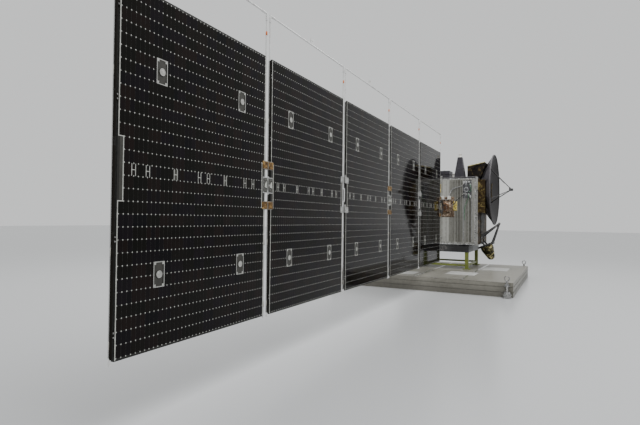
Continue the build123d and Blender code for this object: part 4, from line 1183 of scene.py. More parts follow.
# Lifting points: turned bosses through the deck, with a screwed collar round each.
boss_reach = (0.740, 0.555)            # from the bus's middle, along X and Y
boss_radius, boss_screw_ring = 0.046, 0.038
boss_spots = [(sx * boss_reach[0], sy * boss_reach[1]) for sx in (-1, 1) for sy in (-1, 1)]
collar_shape = [(1.0, 0.0), (1.0, 0.010), (0.92, 0.013), (0.72, 0.013)]
boss_screws = [(x + boss_screw_ring * math.cos(turn), y + boss_screw_ring * math.sin(turn))
               for x, y in boss_spots for turn in np.arange(6) * math.pi / 3]
collars = joined([on_deck(stamps(polygon(boss_radius, 28), collar_shape, boss_spots)),
                  on_deck(screws(boss_screws, collar_shape[-1][1], small_screw))])
add_piece("boss_collars", collars, fitting_alloy, "root")

# Dish antenna: a one-piece carbon shell. Its front is matt black and faintly ribbed by its gores,
# its back is a lighter grey with radial stiffeners and a hoop, and its rim is a grey band.
dish_radius, dish_depth, dish_wall = 0.770, 0.252, 0.014
dish_vertex = (0.838, 0.0, 1.975)
gore_count = 12
rib_count = 12
rib_from, rib_to = 0.16, 0.735
rib_height, rib_half = 0.034, 0.005
# Radius, height above the back
hoop_shape = ((0.34, 0.005), (0.345, 0.032), (0.375, 0.032), (0.380, 0.005))


def dish_back(radius):
    """Place along X of the back: the paraboloid's depth times (radius / rim) squared, less the wall."""
    return dish_vertex[0] + dish_depth * (radius / dish_radius) ** 2 - dish_wall


def dish_ribs():
    """Radial fins on the back: a section of four corners (half width, height) carried out along the
    back's curve at even turns."""
    radius = np.linspace(rib_from, rib_to, 14)
    height = rib_height * np.clip((rib_to - radius) / 0.20, 0.12, 1.0)
    corners = np.array(((-1, 0.03), (1, 0.03), (1, 1.0), (-1, 1.0)))
    parts = []
    for turn in 2 * np.pi * (np.arange(rib_count) + 0.5) / rib_count:
        out = np.array((0, math.cos(turn), math.sin(turn)))
        across = np.array((0, -math.sin(turn), math.cos(turn)))
        x = dish_back(radius)[:, None] - height[:, None] * corners[:, 1]
        spread = (corners[:, 0] * rib_half)[None, :, None] * across
        ring = np.array(dish_vertex) * (0, 1, 1) + radius[:, None, None] * out + spread
        ring = ring + x[:, :, None] * np.array((1, 0, 0))
        parts.append((ring.reshape(-1, 3), flipped(tube_faces(len(radius), 4))))
    return parts


def dish_hoop():
    """The hoop: its section of (radius, height) turned about the dish's axis, standing off the back."""
    profile = [(dish_back(radius) - height - dish_vertex[0], radius) for radius, height in hoop_shape]
    points, tables = lathe(profile, dish_vertex, (1, 0, 0), 96)
    return points, tables[:1]


dish_finish, tree, shader = new_material("dish_finish", Metallic=0.0)
axes = object_axes(tree)
up = calc(tree, "SUBTRACT", axes[2], dish_vertex[2])
reach_squared = calc(tree, "MULTIPLY_ADD", up, up, calc(tree, "MULTIPLY", axes[1], axes[1]))
curve = calc(tree, "MULTIPLY_ADD", reach_squared, dish_depth / dish_radius ** 2,
             dish_vertex[0] - dish_wall / 2)
front = calc(tree, "GREATER_THAN", axes[0], curve)
gores = calc(tree, "MULTIPLY", calc(tree, "ARCTAN2", up, axes[1]), gore_count / 2)
gore_line = calc(tree, "ABSOLUTE", calc(tree, "SINE", gores))
cloud = add_group(tree, mottle, 2.2)[0]
dark = blend(tree, cloud, (0.009, 0.008, 0.009), (0.022, 0.019, 0.020))
pale = blend(tree, cloud, (0.050, 0.045, 0.052), (0.105, 0.098, 0.108))
base_colour(tree, shader, mixed(tree, front, pale, dark))
vary_roughness(tree, shader, cloud, 0.44, 0.62)
add_bump(tree, shader, remap(tree, gore_line, 0.0, 0.06), 0.5, 0.0015)
finish_nodes(dish_finish, "dish_reflector")
dish_grey = worn_material("dish_grey", (0.070, 0.065, 0.070), (0.13, 0.12, 0.13), (0.22, 0.21, 0.21), 0.42,
                          0.0, 6.0)
add_piece("dish_ribs", joined([*dish_ribs(), dish_hoop()]), dish_grey, "root")
rim_x = dish_depth
rim_shape = ((rim_x - 0.024, 0.7705), (rim_x - 0.024, 0.7745), (rim_x - 0.003, 0.7745),
             (rim_x - 0.003, 0.7705))
rim_points, rim_tables = lathe(rim_shape, dish_vertex, (1, 0, 0), 160)
add_piece("dish_rim_band", (rim_points, rim_tables[:1]), dish_grey, "root", True)

# Feed: a small corrugated black horn held at the focus by three carbon struts with ferrules, a
# black cable sleeve along each strut.
focus_x = dish_vertex[0] + dish_radius ** 2 / (4 * dish_depth)
strut_foot = 0.520
ferrule_shape = ((0.0, 0.0082), (0.0, 0.0125), (0.035, 0.0125), (0.040, 0.0105), (0.040, 0.0082))
horn_shape = ((-0.034, 0.0270), (-0.034, 0.0310), (-0.028, 0.0310), (-0.028, 0.0270), (-0.018, 0.0270),
              (-0.018, 0.0310), (-0.012, 0.0310), (-0.012, 0.0270), (-0.002, 0.0270), (-0.002, 0.0310),
              (0.004, 0.0310), (0.004, 0.0270), (0.014, 0.0270), (0.014, 0.0310), (0.020, 0.0310),
              (0.020, 0.0270))
feed_black = worn_material("feed_black", (0.018, 0.018, 0.019), (0.040, 0.039, 0.039), (0.16, 0.16, 0.16),
                           0.34)
finish_nodes(feed_black, "dish_feed")
ferrules, guides = [], []
for turn in np.radians((90, 210, 330)):
    out = np.array((0.0, math.cos(turn), math.sin(turn)))
    foot = np.array((dish_back(strut_foot) + dish_wall, 0.0, dish_vertex[2])) + strut_foot * out
    top = np.array((focus_x, 0.0, dish_vertex[2]))
    along = (top - foot) / np.linalg.norm(top - foot)
    ferrules += [lathe(ferrule_shape, foot + 0.006 * along, along),
                 lathe(ferrule_shape, top - 0.032 * along, -along)]
    lean = np.cross(along, np.cross(out, along))
    guides.append(swept([foot + along * step - 0.0125 * lean / np.linalg.norm(lean)
                         for step in np.linspace(0.05, 0.50, 12)], 0.0045, 8, (0.0, 1.0, 0.3)))
horn = lathe(horn_shape, (focus_x, 0, dish_vertex[2]), (1, 0, 0), 32)
add_piece("feed_ferrules", joined([*ferrules, horn]), feed_black, "root")
add_piece("feed_guides", joined(guides), deck_tape, "root", True)

# Dish cradle and deck support: walls and a truss wrapped in crinkled film, black and bronze with
# gold showing along the folded edges.
cradle_low, cradle_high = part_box("dish_cradle")
cradle_inner_y = 0.56                  # where a wall's edge is cut to the dish's curve
cradle_wall_width = 0.146
support_low, support_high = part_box("dish_support")
cradle_foil = foil_material("cradle_foil", (
    (0.0, (0.012, 0.009, 0.006)), (0.40, (0.050, 0.030, 0.014)), (0.84, (0.070, 0.050, 0.020)),
    (1.0, (0.30, 0.235, 0.085))), 0.36, 26.0, 0.2, level=0.1)
finish_nodes(cradle_foil, "dish_cradle")
finish_nodes(black_foil, "dish_support")
across_x = np.array(((1, 0, 0), (0, 0, 1), (0, 1, 0)), float)      # outline in X and Z, carried along Y
support_outline = ((0.553, 2.222), (0.553, 2.487), (0.923, 2.558), (0.942, 2.530), (0.824, 2.222))
add_piece("support_blanket", wrapped(support_outline, support_low.y + 0.004, support_high.y - 0.004, across_x,
                                     (110, 70, 14), 0.010, 111, 0.10), black_foil, "root")
edge_points = [(0.568 + 0.0355 * step, 2.4935 + 0.00663 * step) for step in range(11)]
edge_rolls = [swept([(x, y, z + 0.004 * math.sin(9 * x + y)) for x, z in edge_points], 0.010, 10,
                    (0.0, 1.0, 0.0)) for y in (support_low.y + 0.002, support_high.y - 0.002)]
roll_points, roll_tables = joined(edge_rolls)
roll_points = roll_points + 0.006 * (crumple(roll_points, 113, 0.03)[:, None] - 0.5)
edge_gold = foil_material("edge_gold", (
    (0.0, (0.20, 0.16, 0.05)), (0.5, (0.46, 0.40, 0.15)), (1.0, (0.80, 0.74, 0.40))), 0.34, 30.0, 0.6)
add_piece("support_rolls", (roll_points, roll_tables), edge_gold, "root")
slope = np.array((0.983, 0.0, 0.1835))
top_face = (np.array((0.556, 0.0, 2.4915)), slope, np.array((-slope[2], 0.0, slope[0])))
top_sheet = laid_film(0.0, 0.370, support_low.y + 0.02, support_high.y - 0.02, 0.012, 0.010, 114, 0.07,
                      (40, 70))
add_piece("support_top", laid(top_sheet, top_face, (0, 1, 0)), black_foil, "root")
cradle_levels = np.linspace(cradle_low.z + 0.004, cradle_high.z - 0.004, 9)
for side in (-1, 1):
    outer_y = side * side_y
    reach = np.hypot(side * cradle_inner_y, cradle_levels - dish_vertex[2])
    edge_x = np.minimum(dish_back(reach) - 0.012, cradle_high.x - 0.004)
    outline = [(corner_plane[0], cradle_levels[0]), *zip(edge_x, cradle_levels),
               (corner_plane[0], cradle_levels[-1])]
    low_y, high_y = sorted((outer_y - side * 0.004, outer_y - side * cradle_wall_width))
    add_piece(f"cradle_blanket_{'near' if side < 0 else 'far'}",
              wrapped(outline, low_y, high_y, across_x, (100, 22, 10), 0.008, 121 + side, 0.07), cradle_foil,
              "root")

# Instrument shroud: four flat blanket panels laced along the corners of a light pyramid, with
# a seam half-way up and a turned white cap on the crown.
shroud_low, shroud_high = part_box("pyramid_shroud")
shroud_middle = plan_middle(shroud_low, shroud_high)
shroud_half = (shroud_high.x - shroud_low.x) / 2
crown_half = 0.044
lacing_depth, lacing_turn = 0.0012, 190.0          # the seams' waver, and its turn over their length
shroud_blanket, tree, shader = new_material("shroud_blanket", Metallic=0.15, Roughness=0.42)
cloud = clouded(tree, shader, 5.0, (0.016, 0.014, 0.019), (0.034, 0.030, 0.040))
vary_roughness(tree, shader, cloud, 0.30, 0.46)
add_bump(tree, shader, add_group(tree, film_creases, 7.0)[0], 0.35, 0.004)
finish_nodes(shroud_blanket, "pyramid_shroud", "instrument_box")
level_axes = np.eye(3)
square = np.array(((-1, -1), (1, -1), (1, 1), (-1, 1)), float)


def square_path(half, middle, z, steps):
    """A closed path round a level rectangle, each side in even steps."""
    spots = [(*(corner * half + middle), z) for corner in square]
    runs = [np.linspace(spots[side], spots[(side + 1) % 4], steps)[:-1] for side in range(4)]
    return np.concatenate([*runs, [spots[0]]])


skin = wrapped(square * (shroud_half - 0.002) + shroud_middle, deck_z + 0.002, shroud_high.z - 0.002,
               level_axes, (120, 60, 10), 0.0045, 131, 0.16, crown_half / shroud_half)
add_piece("shroud_skin", skin, shroud_blanket, "root")
corner_seams = []
for corner in square:
    base = np.array((*(corner * shroud_half + shroud_middle), deck_z))
    crown = np.array((*(corner * crown_half + shroud_middle), shroud_high.z))
    steps = np.linspace(0.01, 0.99, 60)[:, None]
    waver = lacing_depth * np.sin(steps * lacing_turn) * np.array((corner[0], corner[1], 0.0))
    line = base + (crown - base) * steps + waver
    corner_seams.append(swept(line, 0.0042, 7, (corner[0], -corner[1], 0.0)))
half_up = 0.47
belt_half = shroud_half + (crown_half - shroud_half) * half_up + 0.003
belt = square_path(belt_half, shroud_middle, deck_z + half_up * (shroud_high.z - deck_z), 12)
corner_seams.append(swept(belt, 0.0026, 6, (0.0, 0.0, 1.0)))
seam_black = worn_material("seam_black", (0.030, 0.028, 0.034), (0.060, 0.056, 0.064), (0.09, 0.09, 0.09),
                           0.5, 0.0, 60.0)
add_piece("shroud_seams", joined(corner_seams), seam_black, "root", True)
cap_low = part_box("shroud_cap")[0]
cap_white = worn_material("cap_white", (0.62, 0.60, 0.55), (0.78, 0.76, 0.70), (0.5, 0.48, 0.44), 0.38, 0.0,
                          30.0)
finish_nodes(cap_white, "shroud_cap", "deck_antenna", "junction_boxes")
cap_shape = ((0.0005, 0.0302), (0.0005, 0.038), (0.006, 0.038), (0.008, 0.0305), (0.058, 0.0310),
             (0.062, 0.0335), (0.074, 0.0335), (0.078, 0.0302))
add_piece("cap_flange", lathe(cap_shape, (*shroud_middle, cap_low.z), (0, 0, 1), 28), cap_white, "root",
          True)

# Flat instrument: two blanketed slabs one on the other with a dark line in the slot between, bound
# with two straps of tape.
box_low, box_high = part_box("instrument_box")
slab_height, slab_slot = 0.076, 0.014
slab_middle = plan_middle(box_low, box_high)
slab_half = np.array(((box_high.x - box_low.x) / 2 - 0.002, (box_high.y - box_low.y) / 2 - 0.002))
slab_rows = ((0.0, 141), (slab_height + slab_slot, 142))       # height above the deck, seed
slabs = [wrapped(square * slab_half + slab_middle, deck_z + low + 0.002, deck_z + low + slab_height - 0.002,
                 level_axes, (130, 9, 12), 0.0035, seed, 0.10) for low, seed in slab_rows]
add_piece("instrument_skin", joined(slabs), shroud_blanket, "root")
slot_half = slab_half - 0.008
slot_line = square_path(slot_half, slab_middle, deck_z + slab_height + slab_slot / 2, 16)
binding = swept(slot_line, 0.0052, 6, (0.0, 0.0, 1.0))
straps = [wrapped(np.array(((-0.012, -1), (0.012, -1), (0.012, 1), (-0.012, 1))) * (1, slab_half[1] + 0.004)
                  + (slab_middle[0] + dx, slab_middle[1]), deck_z + 0.001, box_high.z + 0.004, level_axes,
                  (60, 12, 4), 0.0015, 143, 0.05) for dx in (-0.15, 0.16)]
add_piece("instrument_binding", joined([binding, *straps]), deck_tape, "root")

# Deck cameras and antenna: square blanketed bodies under flared baffles with black inside and a
# lens low down, and a white flared horn on a drum.
camera_spots = ((-0.560, 0.060), (-0.560, 0.340))
camera_half = np.array((0.088, 0.078))
baffle_shape = ((0.150, 0.0625), (0.150, 0.078), (0.158, 0.078), (0.160, 0.0655), (0.368, 0.0892),
                (0.3735, 0.0885), (0.3735, 0.0805), (0.362, 0.0785), (0.300, 0.0715), (0.290, 0.060),
                (0.282, 0.0690), (0.230, 0.0635), (0.220, 0.0520), (0.212, 0.0610), (0.172, 0.0565),
                (0.170, 0.030), (0.176, 0.026), (0.180, 0.012), (0.181, 0.0))
finish_nodes(black_blanket, "deck_cameras")
baffle_black = worn_material("baffle_black", (0.010, 0.010, 0.011), (0.022, 0.022, 0.022), (0.05, 0.05, 0.05),
                             0.5)
camera_skins = [wrapped(square * camera_half + spot, deck_z + 0.002, deck_z + 0.147, level_axes, (80, 18, 8),
                        0.005, 151 + index, 0.07) for index, spot in enumerate(camera_spots)]
add_piece("camera_skins", joined(camera_skins), silver_foil, "root")
baffles = [lathe(baffle_shape, (*spot, deck_z), (0, 0, 1), 40) for spot in camera_spots]
add_piece("camera_baffles", joined(baffles), baffle_black, "root", True)
antenna_spot = plan_middle(*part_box("deck_antenna"))
antenna_shape = ((0.0, 0.0345), (0.0, 0.058), (0.008, 0.060), (0.010, 0.056), (0.012, 0.036), (0.070, 0.036),
                 (0.076, 0.044), (0.088, 0.044), (0.092, 0.0385), (0.176, 0.0700), (0.1805, 0.0725),
                 (0.1825, 0.0700), (0.181, 0.020), (0.1815, 0.0))
add_piece("antenna_shell", lathe(antenna_shape, (*antenna_spot, deck_z), (0, 0, 1), 36), cap_white, "root",
          True)

# Connector bracket: an alloy plate with round sockets in turned shells, a coil of silver braid held
# in front, and small lids with screws.
bracket_low, bracket_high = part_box("connector_bracket")
bracket_middle = np.array(((bracket_low.x + bracket_high.x) / 2, (bracket_low.z + bracket_high.z) / 2))
socket_spots = ((-0.062, 0.150), (-0.014, 0.150), (0.034, 0.150), (0.066, 0.096), (-0.062, -0.096),
                (-0.014, -0.110), (0.034, -0.110), (0.066, -0.150))
bracket_face_y = -0.661
shell_shape = ((0.0, 0.0132), (0.0, 0.0180), (0.004, 0.0180), (0.006, 0.0150), (0.016, 0.0152),
               (0.018, 0.0172), (0.030, 0.0172), (0.032, 0.0130), (0.040, 0.0095), (0.046, 0.0080))
bracket_alloy = worn_material("bracket_alloy", (0.10, 0.10, 0.105), (0.24, 0.24, 0.25), (0.6, 0.6, 0.6), 0.34,
                              0.8, 20.0)
braid_silver, tree, shader = new_material("braid_silver", Metallic=1.0, Roughness=0.3)
braid = add_group(tree, carbon_weave, 1100.0)[0]
base_colour(tree, shader, ramp(tree, braid, (0.2, (0.30, 0.30, 0.31)), (0.8, (0.78, 0.78, 0.79))))
add_bump(tree, shader, braid, 0.6, 0.0006)
finish_nodes(bracket_alloy, "connector_bracket")
finish_nodes(braid_silver, "harness_coil")
shells = [lathe(shell_shape, (bracket_middle[0] + dx, bracket_face_y, bracket_middle[1] + dz), (0, -1, 0), 24)
          for dx, dz in socket_spots]
add_piece("socket_shells", joined(shells), fitting_alloy, "root")
bracket_face = side_plane(-1, bracket_middle[0], bracket_face_y, bracket_middle[1])
lid_spots = [(-0.050, 0.030), (0.052, 0.020), (0.050, -0.058)]
lid_size, lid_rise = (0.044, 0.052), 0.017
lids = stamps(rectangle(*lid_size), [(1.0, 0.0), (1.0, 0.014), (0.94, lid_rise)], lid_spots)
lid_screws = screws([(x + dx, z + dz) for x, z in lid_spots for dx in (-0.016, 0.016)
                     for dz in (-0.020, 0.020)], lid_rise, 0.0022)
edge_screws = screws([(dx, dz) for dx in (-0.082, 0.082) for dz in np.linspace(-0.178, 0.178, 6)], 0.0,
                     0.0034)
add_piece("bracket_lids", laid(joined([lids, lid_screws, edge_screws]), bracket_face), bracket_alloy, "root")

# Harness: bundles of wires in braid or sleeve with ties round them, that run from the bracket's
# sockets to the junction boxes and the wing drive and down the side of the bus.
wire_sets = (
    ("braid", 0.0085,
     ((0.548, -0.708, 2.110), (0.548, -0.735, 2.070), (0.500, -0.700, 2.030), (0.430, -0.672, 2.010),
      (0.300, -0.668, 1.960), (0.240, -0.668, 1.840), (0.225, -0.690, 1.800))),
    ("braid", 0.0070,
     ((0.596, -0.708, 2.110), (0.600, -0.745, 2.050), (0.596, -0.716, 1.960), (0.570, -0.676, 1.830),
      (0.540, -0.662, 1.600), (0.535, -0.662, 1.200), (0.540, -0.660, 0.860))),
    ("dark", 0.0080,
     ((0.548, -0.708, 1.864), (0.530, -0.740, 1.830), (0.470, -0.690, 1.790), (0.400, -0.670, 1.730),
      (0.330, -0.672, 1.640), (0.292, -0.676, 1.600))),
    ("green", 0.0060,
     ((0.644, -0.708, 1.850), (0.652, -0.742, 1.810), (0.640, -0.700, 1.760), (0.610, -0.670, 1.700),
      (0.560, -0.664, 1.560), (0.555, -0.662, 1.300))),
    ("braid", 0.0065,
     ((0.676, -0.708, 1.810), (0.690, -0.730, 1.770), (0.700, -0.690, 1.700), (0.706, -0.664, 1.560),
      (0.706, -0.660, 1.100), (0.700, -0.660, 0.830))),
    ("green", 0.0055,
     ((0.676, -0.708, 2.056), (0.694, -0.740, 2.010), (0.700, -0.710, 1.930), (0.640, -0.700, 1.900))),
    ("braid", 0.0060,
     ((0.205, -0.690, 1.760), (0.196, -0.672, 1.735), (0.150, -0.664, 1.735), (0.132, -0.680, 1.760))),
    ("dark", 0.0060,
     ((0.100, -0.690, 1.742), (0.080, -0.672, 1.732), (0.000, -0.664, 1.700), (-0.040, -0.662, 1.560),
      (-0.050, -0.662, 1.300), (-0.050, -0.660, 0.840))))
tie_pitch = 9


def curve_through(points, steps):
    """A smooth path through points. Between each two it is half of a cubic in the share run, which
    starts and ends along the line from the point before to the point after."""
    points = np.asarray(points, float)
    padded = np.concatenate([2 * points[:1] - points[1:2], points, 2 * points[-1:] - points[-2:-1]])
    share = np.linspace(0.0, 1.0, steps, endpoint=False)[:, None]
    before, here, ahead, beyond = (padded[index:len(points) - 1 + index, None] for index in range(4))
    bend = 2 * before - 5 * here + 4 * ahead - beyond
    swing = 3 * here - before - 3 * ahead + beyond
    path = 0.5 * (2 * here + (ahead - before) * share + bend * share ** 2 + swing * share ** 3)
    return np.concatenate([path.reshape(-1, 3), points[-1:]])


loom_dark = worn_material("loom_dark", (0.020, 0.019, 0.020), (0.045, 0.042, 0.040), (0.09, 0.08, 0.07), 0.4,
                          0.0, 60.0)
loom_green = worn_material("loom_green", (0.035, 0.16, 0.075), (0.07, 0.26, 0.12), (0.2, 0.3, 0.2), 0.42, 0.0,
                           60.0)
loom_finishes = {"braid": (braid_silver, "bright_alloy"), "dark": (loom_dark, "black_fitting"),
                 "green": (loom_green, "black_fitting")}
ties = []
for index, (kind, radius, points) in enumerate(wire_sets):
    path = curve_through(points, 10)
    material, slot = loom_finishes[kind]
    add_piece(f"loom_{index + 1}", swept(path, radius, 10, (0.21, -0.97, 0.13)), material, "root", True)
    for step in range(tie_pitch, len(path) - 3, tie_pitch):
        ahead = path[step + 1] - path[step]
        ties.append(lathe(((-0.003, radius), (-0.003, radius + 0.0016), (0.003, radius + 0.0016),
                           (0.003, radius)), path[step], ahead, 12))
tie_white = worn_material("tie_white", (0.60, 0.60, 0.56), (0.76, 0.76, 0.72), (0.5, 0.5, 0.46), 0.4, 0.0,
                          40.0)
add_piece("loom_ties", joined(ties), tie_white, "root")

# Junction boxes and film patches: two white lids with screws over the wing drive, and patches of
# yellow-gold and copper film stuck on the bus's side round the drive.
box_rows = ((0.060, 0.130), (0.205, 0.270))
box_z = (1.745, 1.815)
lid_y, patch_y = -0.707, -0.647        # outer faces of the boxes and of the bus's side
lid_face = side_plane(-1, 0, lid_y, 0)
patch_rows = (("gold", -0.10, 0.05, 1.90, 2.08, 0.006), ("copper", -0.06, 0.34, 1.36, 1.80, 0.007),
              ("copper", -0.20, -0.02, 1.44, 1.66, 0.005), ("gold", 0.29, 0.40, 1.50, 1.70, 0.006))
box_lids = [laid(stamps(rectangle(x1 - x0 + 0.004, 0.074), [(1.0, 0.0), (1.0, 0.004), (0.96, 0.006)],
                        [((x0 + x1) / 2, sum(box_z) / 2)]),
                 lid_face) for x0, x1 in box_rows]
box_screws = [laid(screws([(x, z) for x in (x0 + 0.010, x1 - 0.010)
                           for z in (box_z[0] + 0.010, box_z[1] - 0.010)], 0.006, 0.0030), lid_face)
              for x0, x1 in box_rows]
add_piece("junction_lids", joined(box_lids), cap_white, "root")
add_piece("junction_screws", joined(box_screws), screw_steel, "root")
patch_gold = foil_material("patch_gold", (
    (0.0, (0.34, 0.22, 0.03)), (0.5, (0.66, 0.50, 0.10)), (1.0, (0.95, 0.86, 0.42))), 0.24, 36.0)
side_face = side_plane(-1, 0, patch_y, 0)
for index, (kind, x0, x1, z0, z1, rise) in enumerate(patch_rows):
    part = laid_film(x0, x1, z0, z1, rise, 0.007, 171 + index, 0.04, (max(12, int((x1 - x0) / 0.008)), 36))
    material = patch_gold if kind == "gold" else copper_foil
    add_piece(f"side_film_{index + 1}", laid(part, side_face), material, "root")

# Thrusters: a molybdenum ring and pierced grid in a skirt of gold film, gathered with cord in three
# places, on a truss of black struts.
ring_reach, ring_drop = 0.905, 0.745
thrust_line = (0.4, 0.0, -0.9165)
grid_radius = 0.116
grid_pitch = 0.0088
grid_hole = 0.0034
grid_sunk = 0.0215                     # along the thrust line, from the ring's middle
skirt_film_shape = ((0.020, 0.1335), (0.050, 0.1340), (0.095, 0.1290), (0.150, 0.1128), (0.235, 0.0878),
                    (0.285, 0.0718), (0.300, 0.0650), (0.312, 0.0560), (0.325, 0.0398), (0.334, 0.0180),
                    (0.3375, 0.0060))
cord_places = ((0.099, 0.1325), (0.192, 0.1010), (0.276, 0.0758))
cord_shape = ((-0.003, 0.003), (-0.002, 0.0105), (0.002, 0.0105), (0.003, 0.003))
bell_foil = foil_material("bell_foil", (
    (0.0, (0.006, 0.006, 0.004)), (0.50, (0.030, 0.028, 0.012)), (0.82, (0.13, 0.11, 0.042)),
    (1.0, (0.80, 0.70, 0.36))), 0.24, 20.0, 0.8)
finish_nodes(bell_foil, "thrusters")
truss_black = worn_material("truss_black", (0.022, 0.022, 0.023), (0.045, 0.044, 0.044), (0.22, 0.21, 0.20),
                            0.34, 0.2, 16.0)
finish_nodes(truss_black, "thruster_trusses")
ring_dark = worn_material("ring_dark", (0.075, 0.070, 0.066), (0.15, 0.14, 0.13), (0.3, 0.3, 0.3), 0.32, 0.9,
                          24.0)
ring_band_shape = ((-0.0142, 0.1175), (-0.0142, 0.1462), (0.0142, 0.1462), (0.0142, 0.1340))
across, up = np.meshgrid(np.arange(-14, 15), np.arange(-16, 17), indexing="ij")
grid_spots = np.stack([(across + 0.5 * (up % 2)) * grid_pitch, up * grid_pitch * 0.866], -1).reshape(-1, 2)
grid_spots = grid_spots[np.hypot(grid_spots[:, 0], grid_spots[:, 1]) < grid_radius - 0.006]
for name, side in end_sides.items():
    middle = np.array((side * ring_reach, 0.0, ring_drop))
    line = np.array((side * thrust_line[0], 0.0, thrust_line[2]))
    skirt = gathered(skirt_film_shape, middle, line, (64, 84), 0.0085, 181 + side, 0.035)
    tip = lathe(((0.3370, 0.0085), (0.3385, 0.0050), (0.3390, 0.0)), middle, line, 84)
    add_piece(f"{name}_thruster_film", joined([skirt, tip]), bell_foil, "root")
    cords = [lathe([(reach + along, radius + out) for along, out in cord_shape], middle, line, 60)
             for reach, radius in cord_places]
    add_piece(f"{name}_thruster_cords", joined(cords), loom_dark, "root", True)
    band = lathe(ring_band_shape, middle, line, 72)
    grid_up = np.cross(np.array((0, 1, 0)), -line)
    holes = stamps(polygon(grid_hole, 6), [(1.0, 0.0), (1.25, 0.0012), (1.5, 0.0006)], grid_spots)
    grid = laid(holes, (middle + grid_sunk * line, np.array((0, 1, 0)), -line), grid_up)
    add_piece(f"{name}_thruster_ring", joined([band, grid]), ring_dark, "root")

# Adapter and stand: a machined ring clamped by a segmented band with bolts, on a black welded frame
# whose square legs are painted yellow-green and stand on bolted feet.
adapter_low, adapter_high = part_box("adapter_ring")
stand_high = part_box("stand_ring")[1]
legs_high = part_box("stand_legs")[1]
lip_radius = (adapter_high.x - adapter_low.x) / 2
clamp_segments = 24
foot_top = 0.266                       # upper side of the legs' foot plates
foot_half, foot_bolt = 0.075, 0.055    # half a foot plate, and its bolts from its middle
beam_line = 0.60                       # middle line of the stand ring's beams
foot_bolt_radius, beam_bolt_radius = 0.010, 0.007
adapter_alloy = worn_material("adapter_alloy", (0.42, 0.42, 0.41), (0.62, 0.62, 0.61), (0.8, 0.8, 0.8), 0.26,
                              1.0, 9.0)
stand_paint = worn_material("stand_paint", (0.018, 0.018, 0.019), (0.040, 0.040, 0.041), (0.16, 0.15, 0.14),
                            0.36, 0.0, 5.0)
leg_paint = worn_material("leg_paint", (0.14, 0.17, 0.025), (0.22, 0.25, 0.045), (0.12, 0.12, 0.07), 0.36,
                          0.0, 6.0)
finish_nodes(adapter_alloy, "adapter_ring")
finish_nodes(stand_paint, "stand_ring")
finish_nodes(leg_paint, "stand_legs")
segment = np.linspace(0.0, 2 * np.pi / clamp_segments - 0.012, 7)
segment_parts = []
for start in 2 * np.pi * np.arange(clamp_segments) / clamp_segments:
    path = np.stack([(lip_radius + 0.006) * np.cos(start + segment),
                     (lip_radius + 0.006) * np.sin(start + segment), np.full(7, stand_high.z + 0.015)], 1)
    segment_parts.append(swept(path, 0.0092, 4, (0.0, 0.0, 1.0)))
    outward = np.array((math.cos(start), math.sin(start), 0.0))
    segment_parts.append(lathe(((0.0, 0.007), (0.016, 0.007), (0.016, 0.0045), (0.024, 0.0045)),
                               (lip_radius + 0.004) * outward + (0, 0, stand_high.z + 0.015), outward, 6))
add_piece("clamp_band", joined(segment_parts), fitting_alloy, "root")
foot_spots = [(sx * (legs_high.x - foot_half) + dx, sy * (legs_high.y - foot_half) + dy)
              for sx in (-1, 1) for sy in (-1, 1) for dx in (-foot_bolt, foot_bolt)
              for dy in (-foot_bolt, foot_bolt)]
frame_spots = [(sx * beam_line, y) for sx in (-1, 1) for y in np.linspace(-0.56, 0.56, 9)] + [
    (x, sy * beam_line) for sy in (-1, 1) for x in np.linspace(-0.48, 0.48, 7)]
stand_bolts = joined([on_deck(screws(foot_spots, 0.0, foot_bolt_radius), foot_top),
                      on_deck(screws(frame_spots, 0.0, beam_bolt_radius), stand_high.z)])
add_piece("stand_bolts", stand_bolts, screw_steel, "root")

# Plinth: a low platform of folded steel painted warm grey, scuffed near the floor and with painted
# shade darkening it towards the floor, under a deck of laminate sheets joined by cover strips, with
# thin protective sheets lying on top.
plinth_low, plinth_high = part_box("plinth_base")
deck_top = 0.250
plinth_paint, tree, shader = new_material("plinth_paint", Metallic=0.0, Roughness=0.4)
height = object_axes(tree)[2]
cloud = add_group(tree, mottle, 2.5)[0]
plain = blend(tree, cloud, (0.17, 0.160, 0.132), (0.26, 0.248, 0.210))
dirt = calc(tree, "MULTIPLY", remap(tree, height, 0.10, 0.0), add_group(tree, scuffs, 14.0)[0])
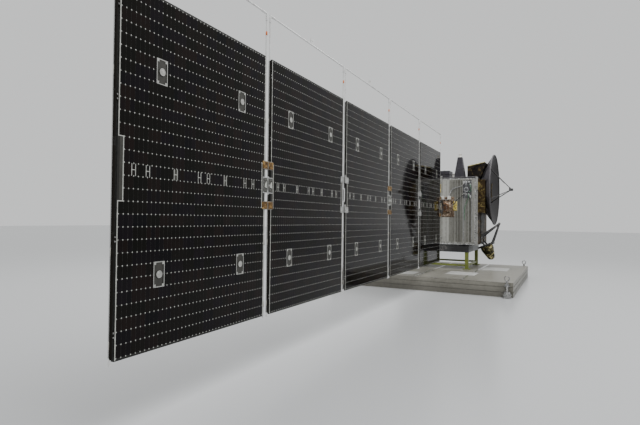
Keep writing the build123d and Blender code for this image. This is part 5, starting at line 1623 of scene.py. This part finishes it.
# Painted shade: below 0.20 m the grey is mixed more and more towards a darker one, by up to 0.55 from 0.06 m
# down.
painted_shade_mix = mixed(tree, remap(tree, height, 0.20, 0.06, 0.0, 0.55), plain, (0.085, 0.080, 0.066))
base_colour(tree, shader, mixed(tree, dirt, painted_shade_mix, (0.14, 0.13, 0.11)))
vary_roughness(tree, shader, cloud, 0.34, 0.52)
finish_nodes(plinth_paint, "plinth_base")
plinth_sheet = worn_material("plinth_sheet", (0.18, 0.170, 0.142), (0.27, 0.258, 0.220), (0.15, 0.14, 0.12),
                             0.42, 0.0, 3.0)
finish_nodes(plinth_sheet, "plinth_deck")
strip_pitch = 0.85
cover_width = 0.040
deck_screw_pitch = 0.25
strip_rows_x = np.arange(plinth_low.x + strip_pitch, plinth_high.x - 0.4, strip_pitch)
strips = [on_deck(stamps(rectangle(cover_width, plinth_high.y - plinth_low.y - 0.02),
                         [(1.0, 0.0), (0.99, 0.0016)], [(x, (plinth_low.y + plinth_high.y) / 2)]), deck_top)
          for x in strip_rows_x]
edge_rows = [(x, y) for x in np.arange(plinth_low.x + 0.06, plinth_high.x, deck_screw_pitch)
             for y in (plinth_low.y + 0.03, plinth_high.y - 0.03)]
add_piece("plinth_strips", joined([*strips, on_deck(screws(edge_rows, 0.0, 0.006), deck_top)]), adapter_alloy,
          "root")
sheet_pale = worn_material("sheet_pale", (0.42, 0.42, 0.40), (0.56, 0.56, 0.54), (0.4, 0.4, 0.38), 0.5, 0.0,
                           4.0)
sheet_rows = ((-0.85, -0.10, -2.20, -1.75, 0.0030, (50, 34)), (0.40, 0.95, -1.75, -1.25, 0.0045, (40, 36)),
              (-1.30, -0.75, -1.50, -0.80, 0.0035, (34, 40)), (0.86, 1.40, -0.60, 0.05, 0.0040, (34, 44)))
sheets = joined([on_deck(laid_film(x0, x1, y0, y1, rise, 0.010, 191 + index, 0.35, steps, 0.001), deck_top)
                 for index, (x0, x1, y0, y1, rise, steps) in enumerate(sheet_rows)])
add_piece("plinth_films", sheets, sheet_pale, "root", True)

# Levelling jacks: turned steel discs and threads with hex nuts in welded arms.
jack_steel = worn_material("jack_steel", (0.20, 0.20, 0.20), (0.42, 0.41, 0.40), (0.60, 0.60, 0.58), 0.30,
                           1.0, 26.0)
finish_nodes(jack_steel, "plinth_jacks")
jack_in, jack_out = 0.090, 0.082       # in from the plinth's ends, and out from its sides
jack_spots = [(sx * (plinth_high.x - jack_in), edge) for sx in (-1, 1)
              for edge in (plinth_low.y - jack_out, plinth_high.y + jack_out)]
thread = [(0.118 + 0.004 * step, 0.0225 if step % 2 else 0.0203) for step in range(18)]
nut_shape = ((0.214, 0.0215), (0.214, 0.036), (0.234, 0.036), (0.234, 0.0215))
jack_parts = [lathe(thread, (x, y, 0.0), (0, 0, 1), 20) for x, y in jack_spots]
jack_parts += [lathe(nut_shape, (x, y, 0.0), (0, 0, 1), 6) for x, y in jack_spots]
add_piece("jack_threads", joined(jack_parts), jack_steel, "root")
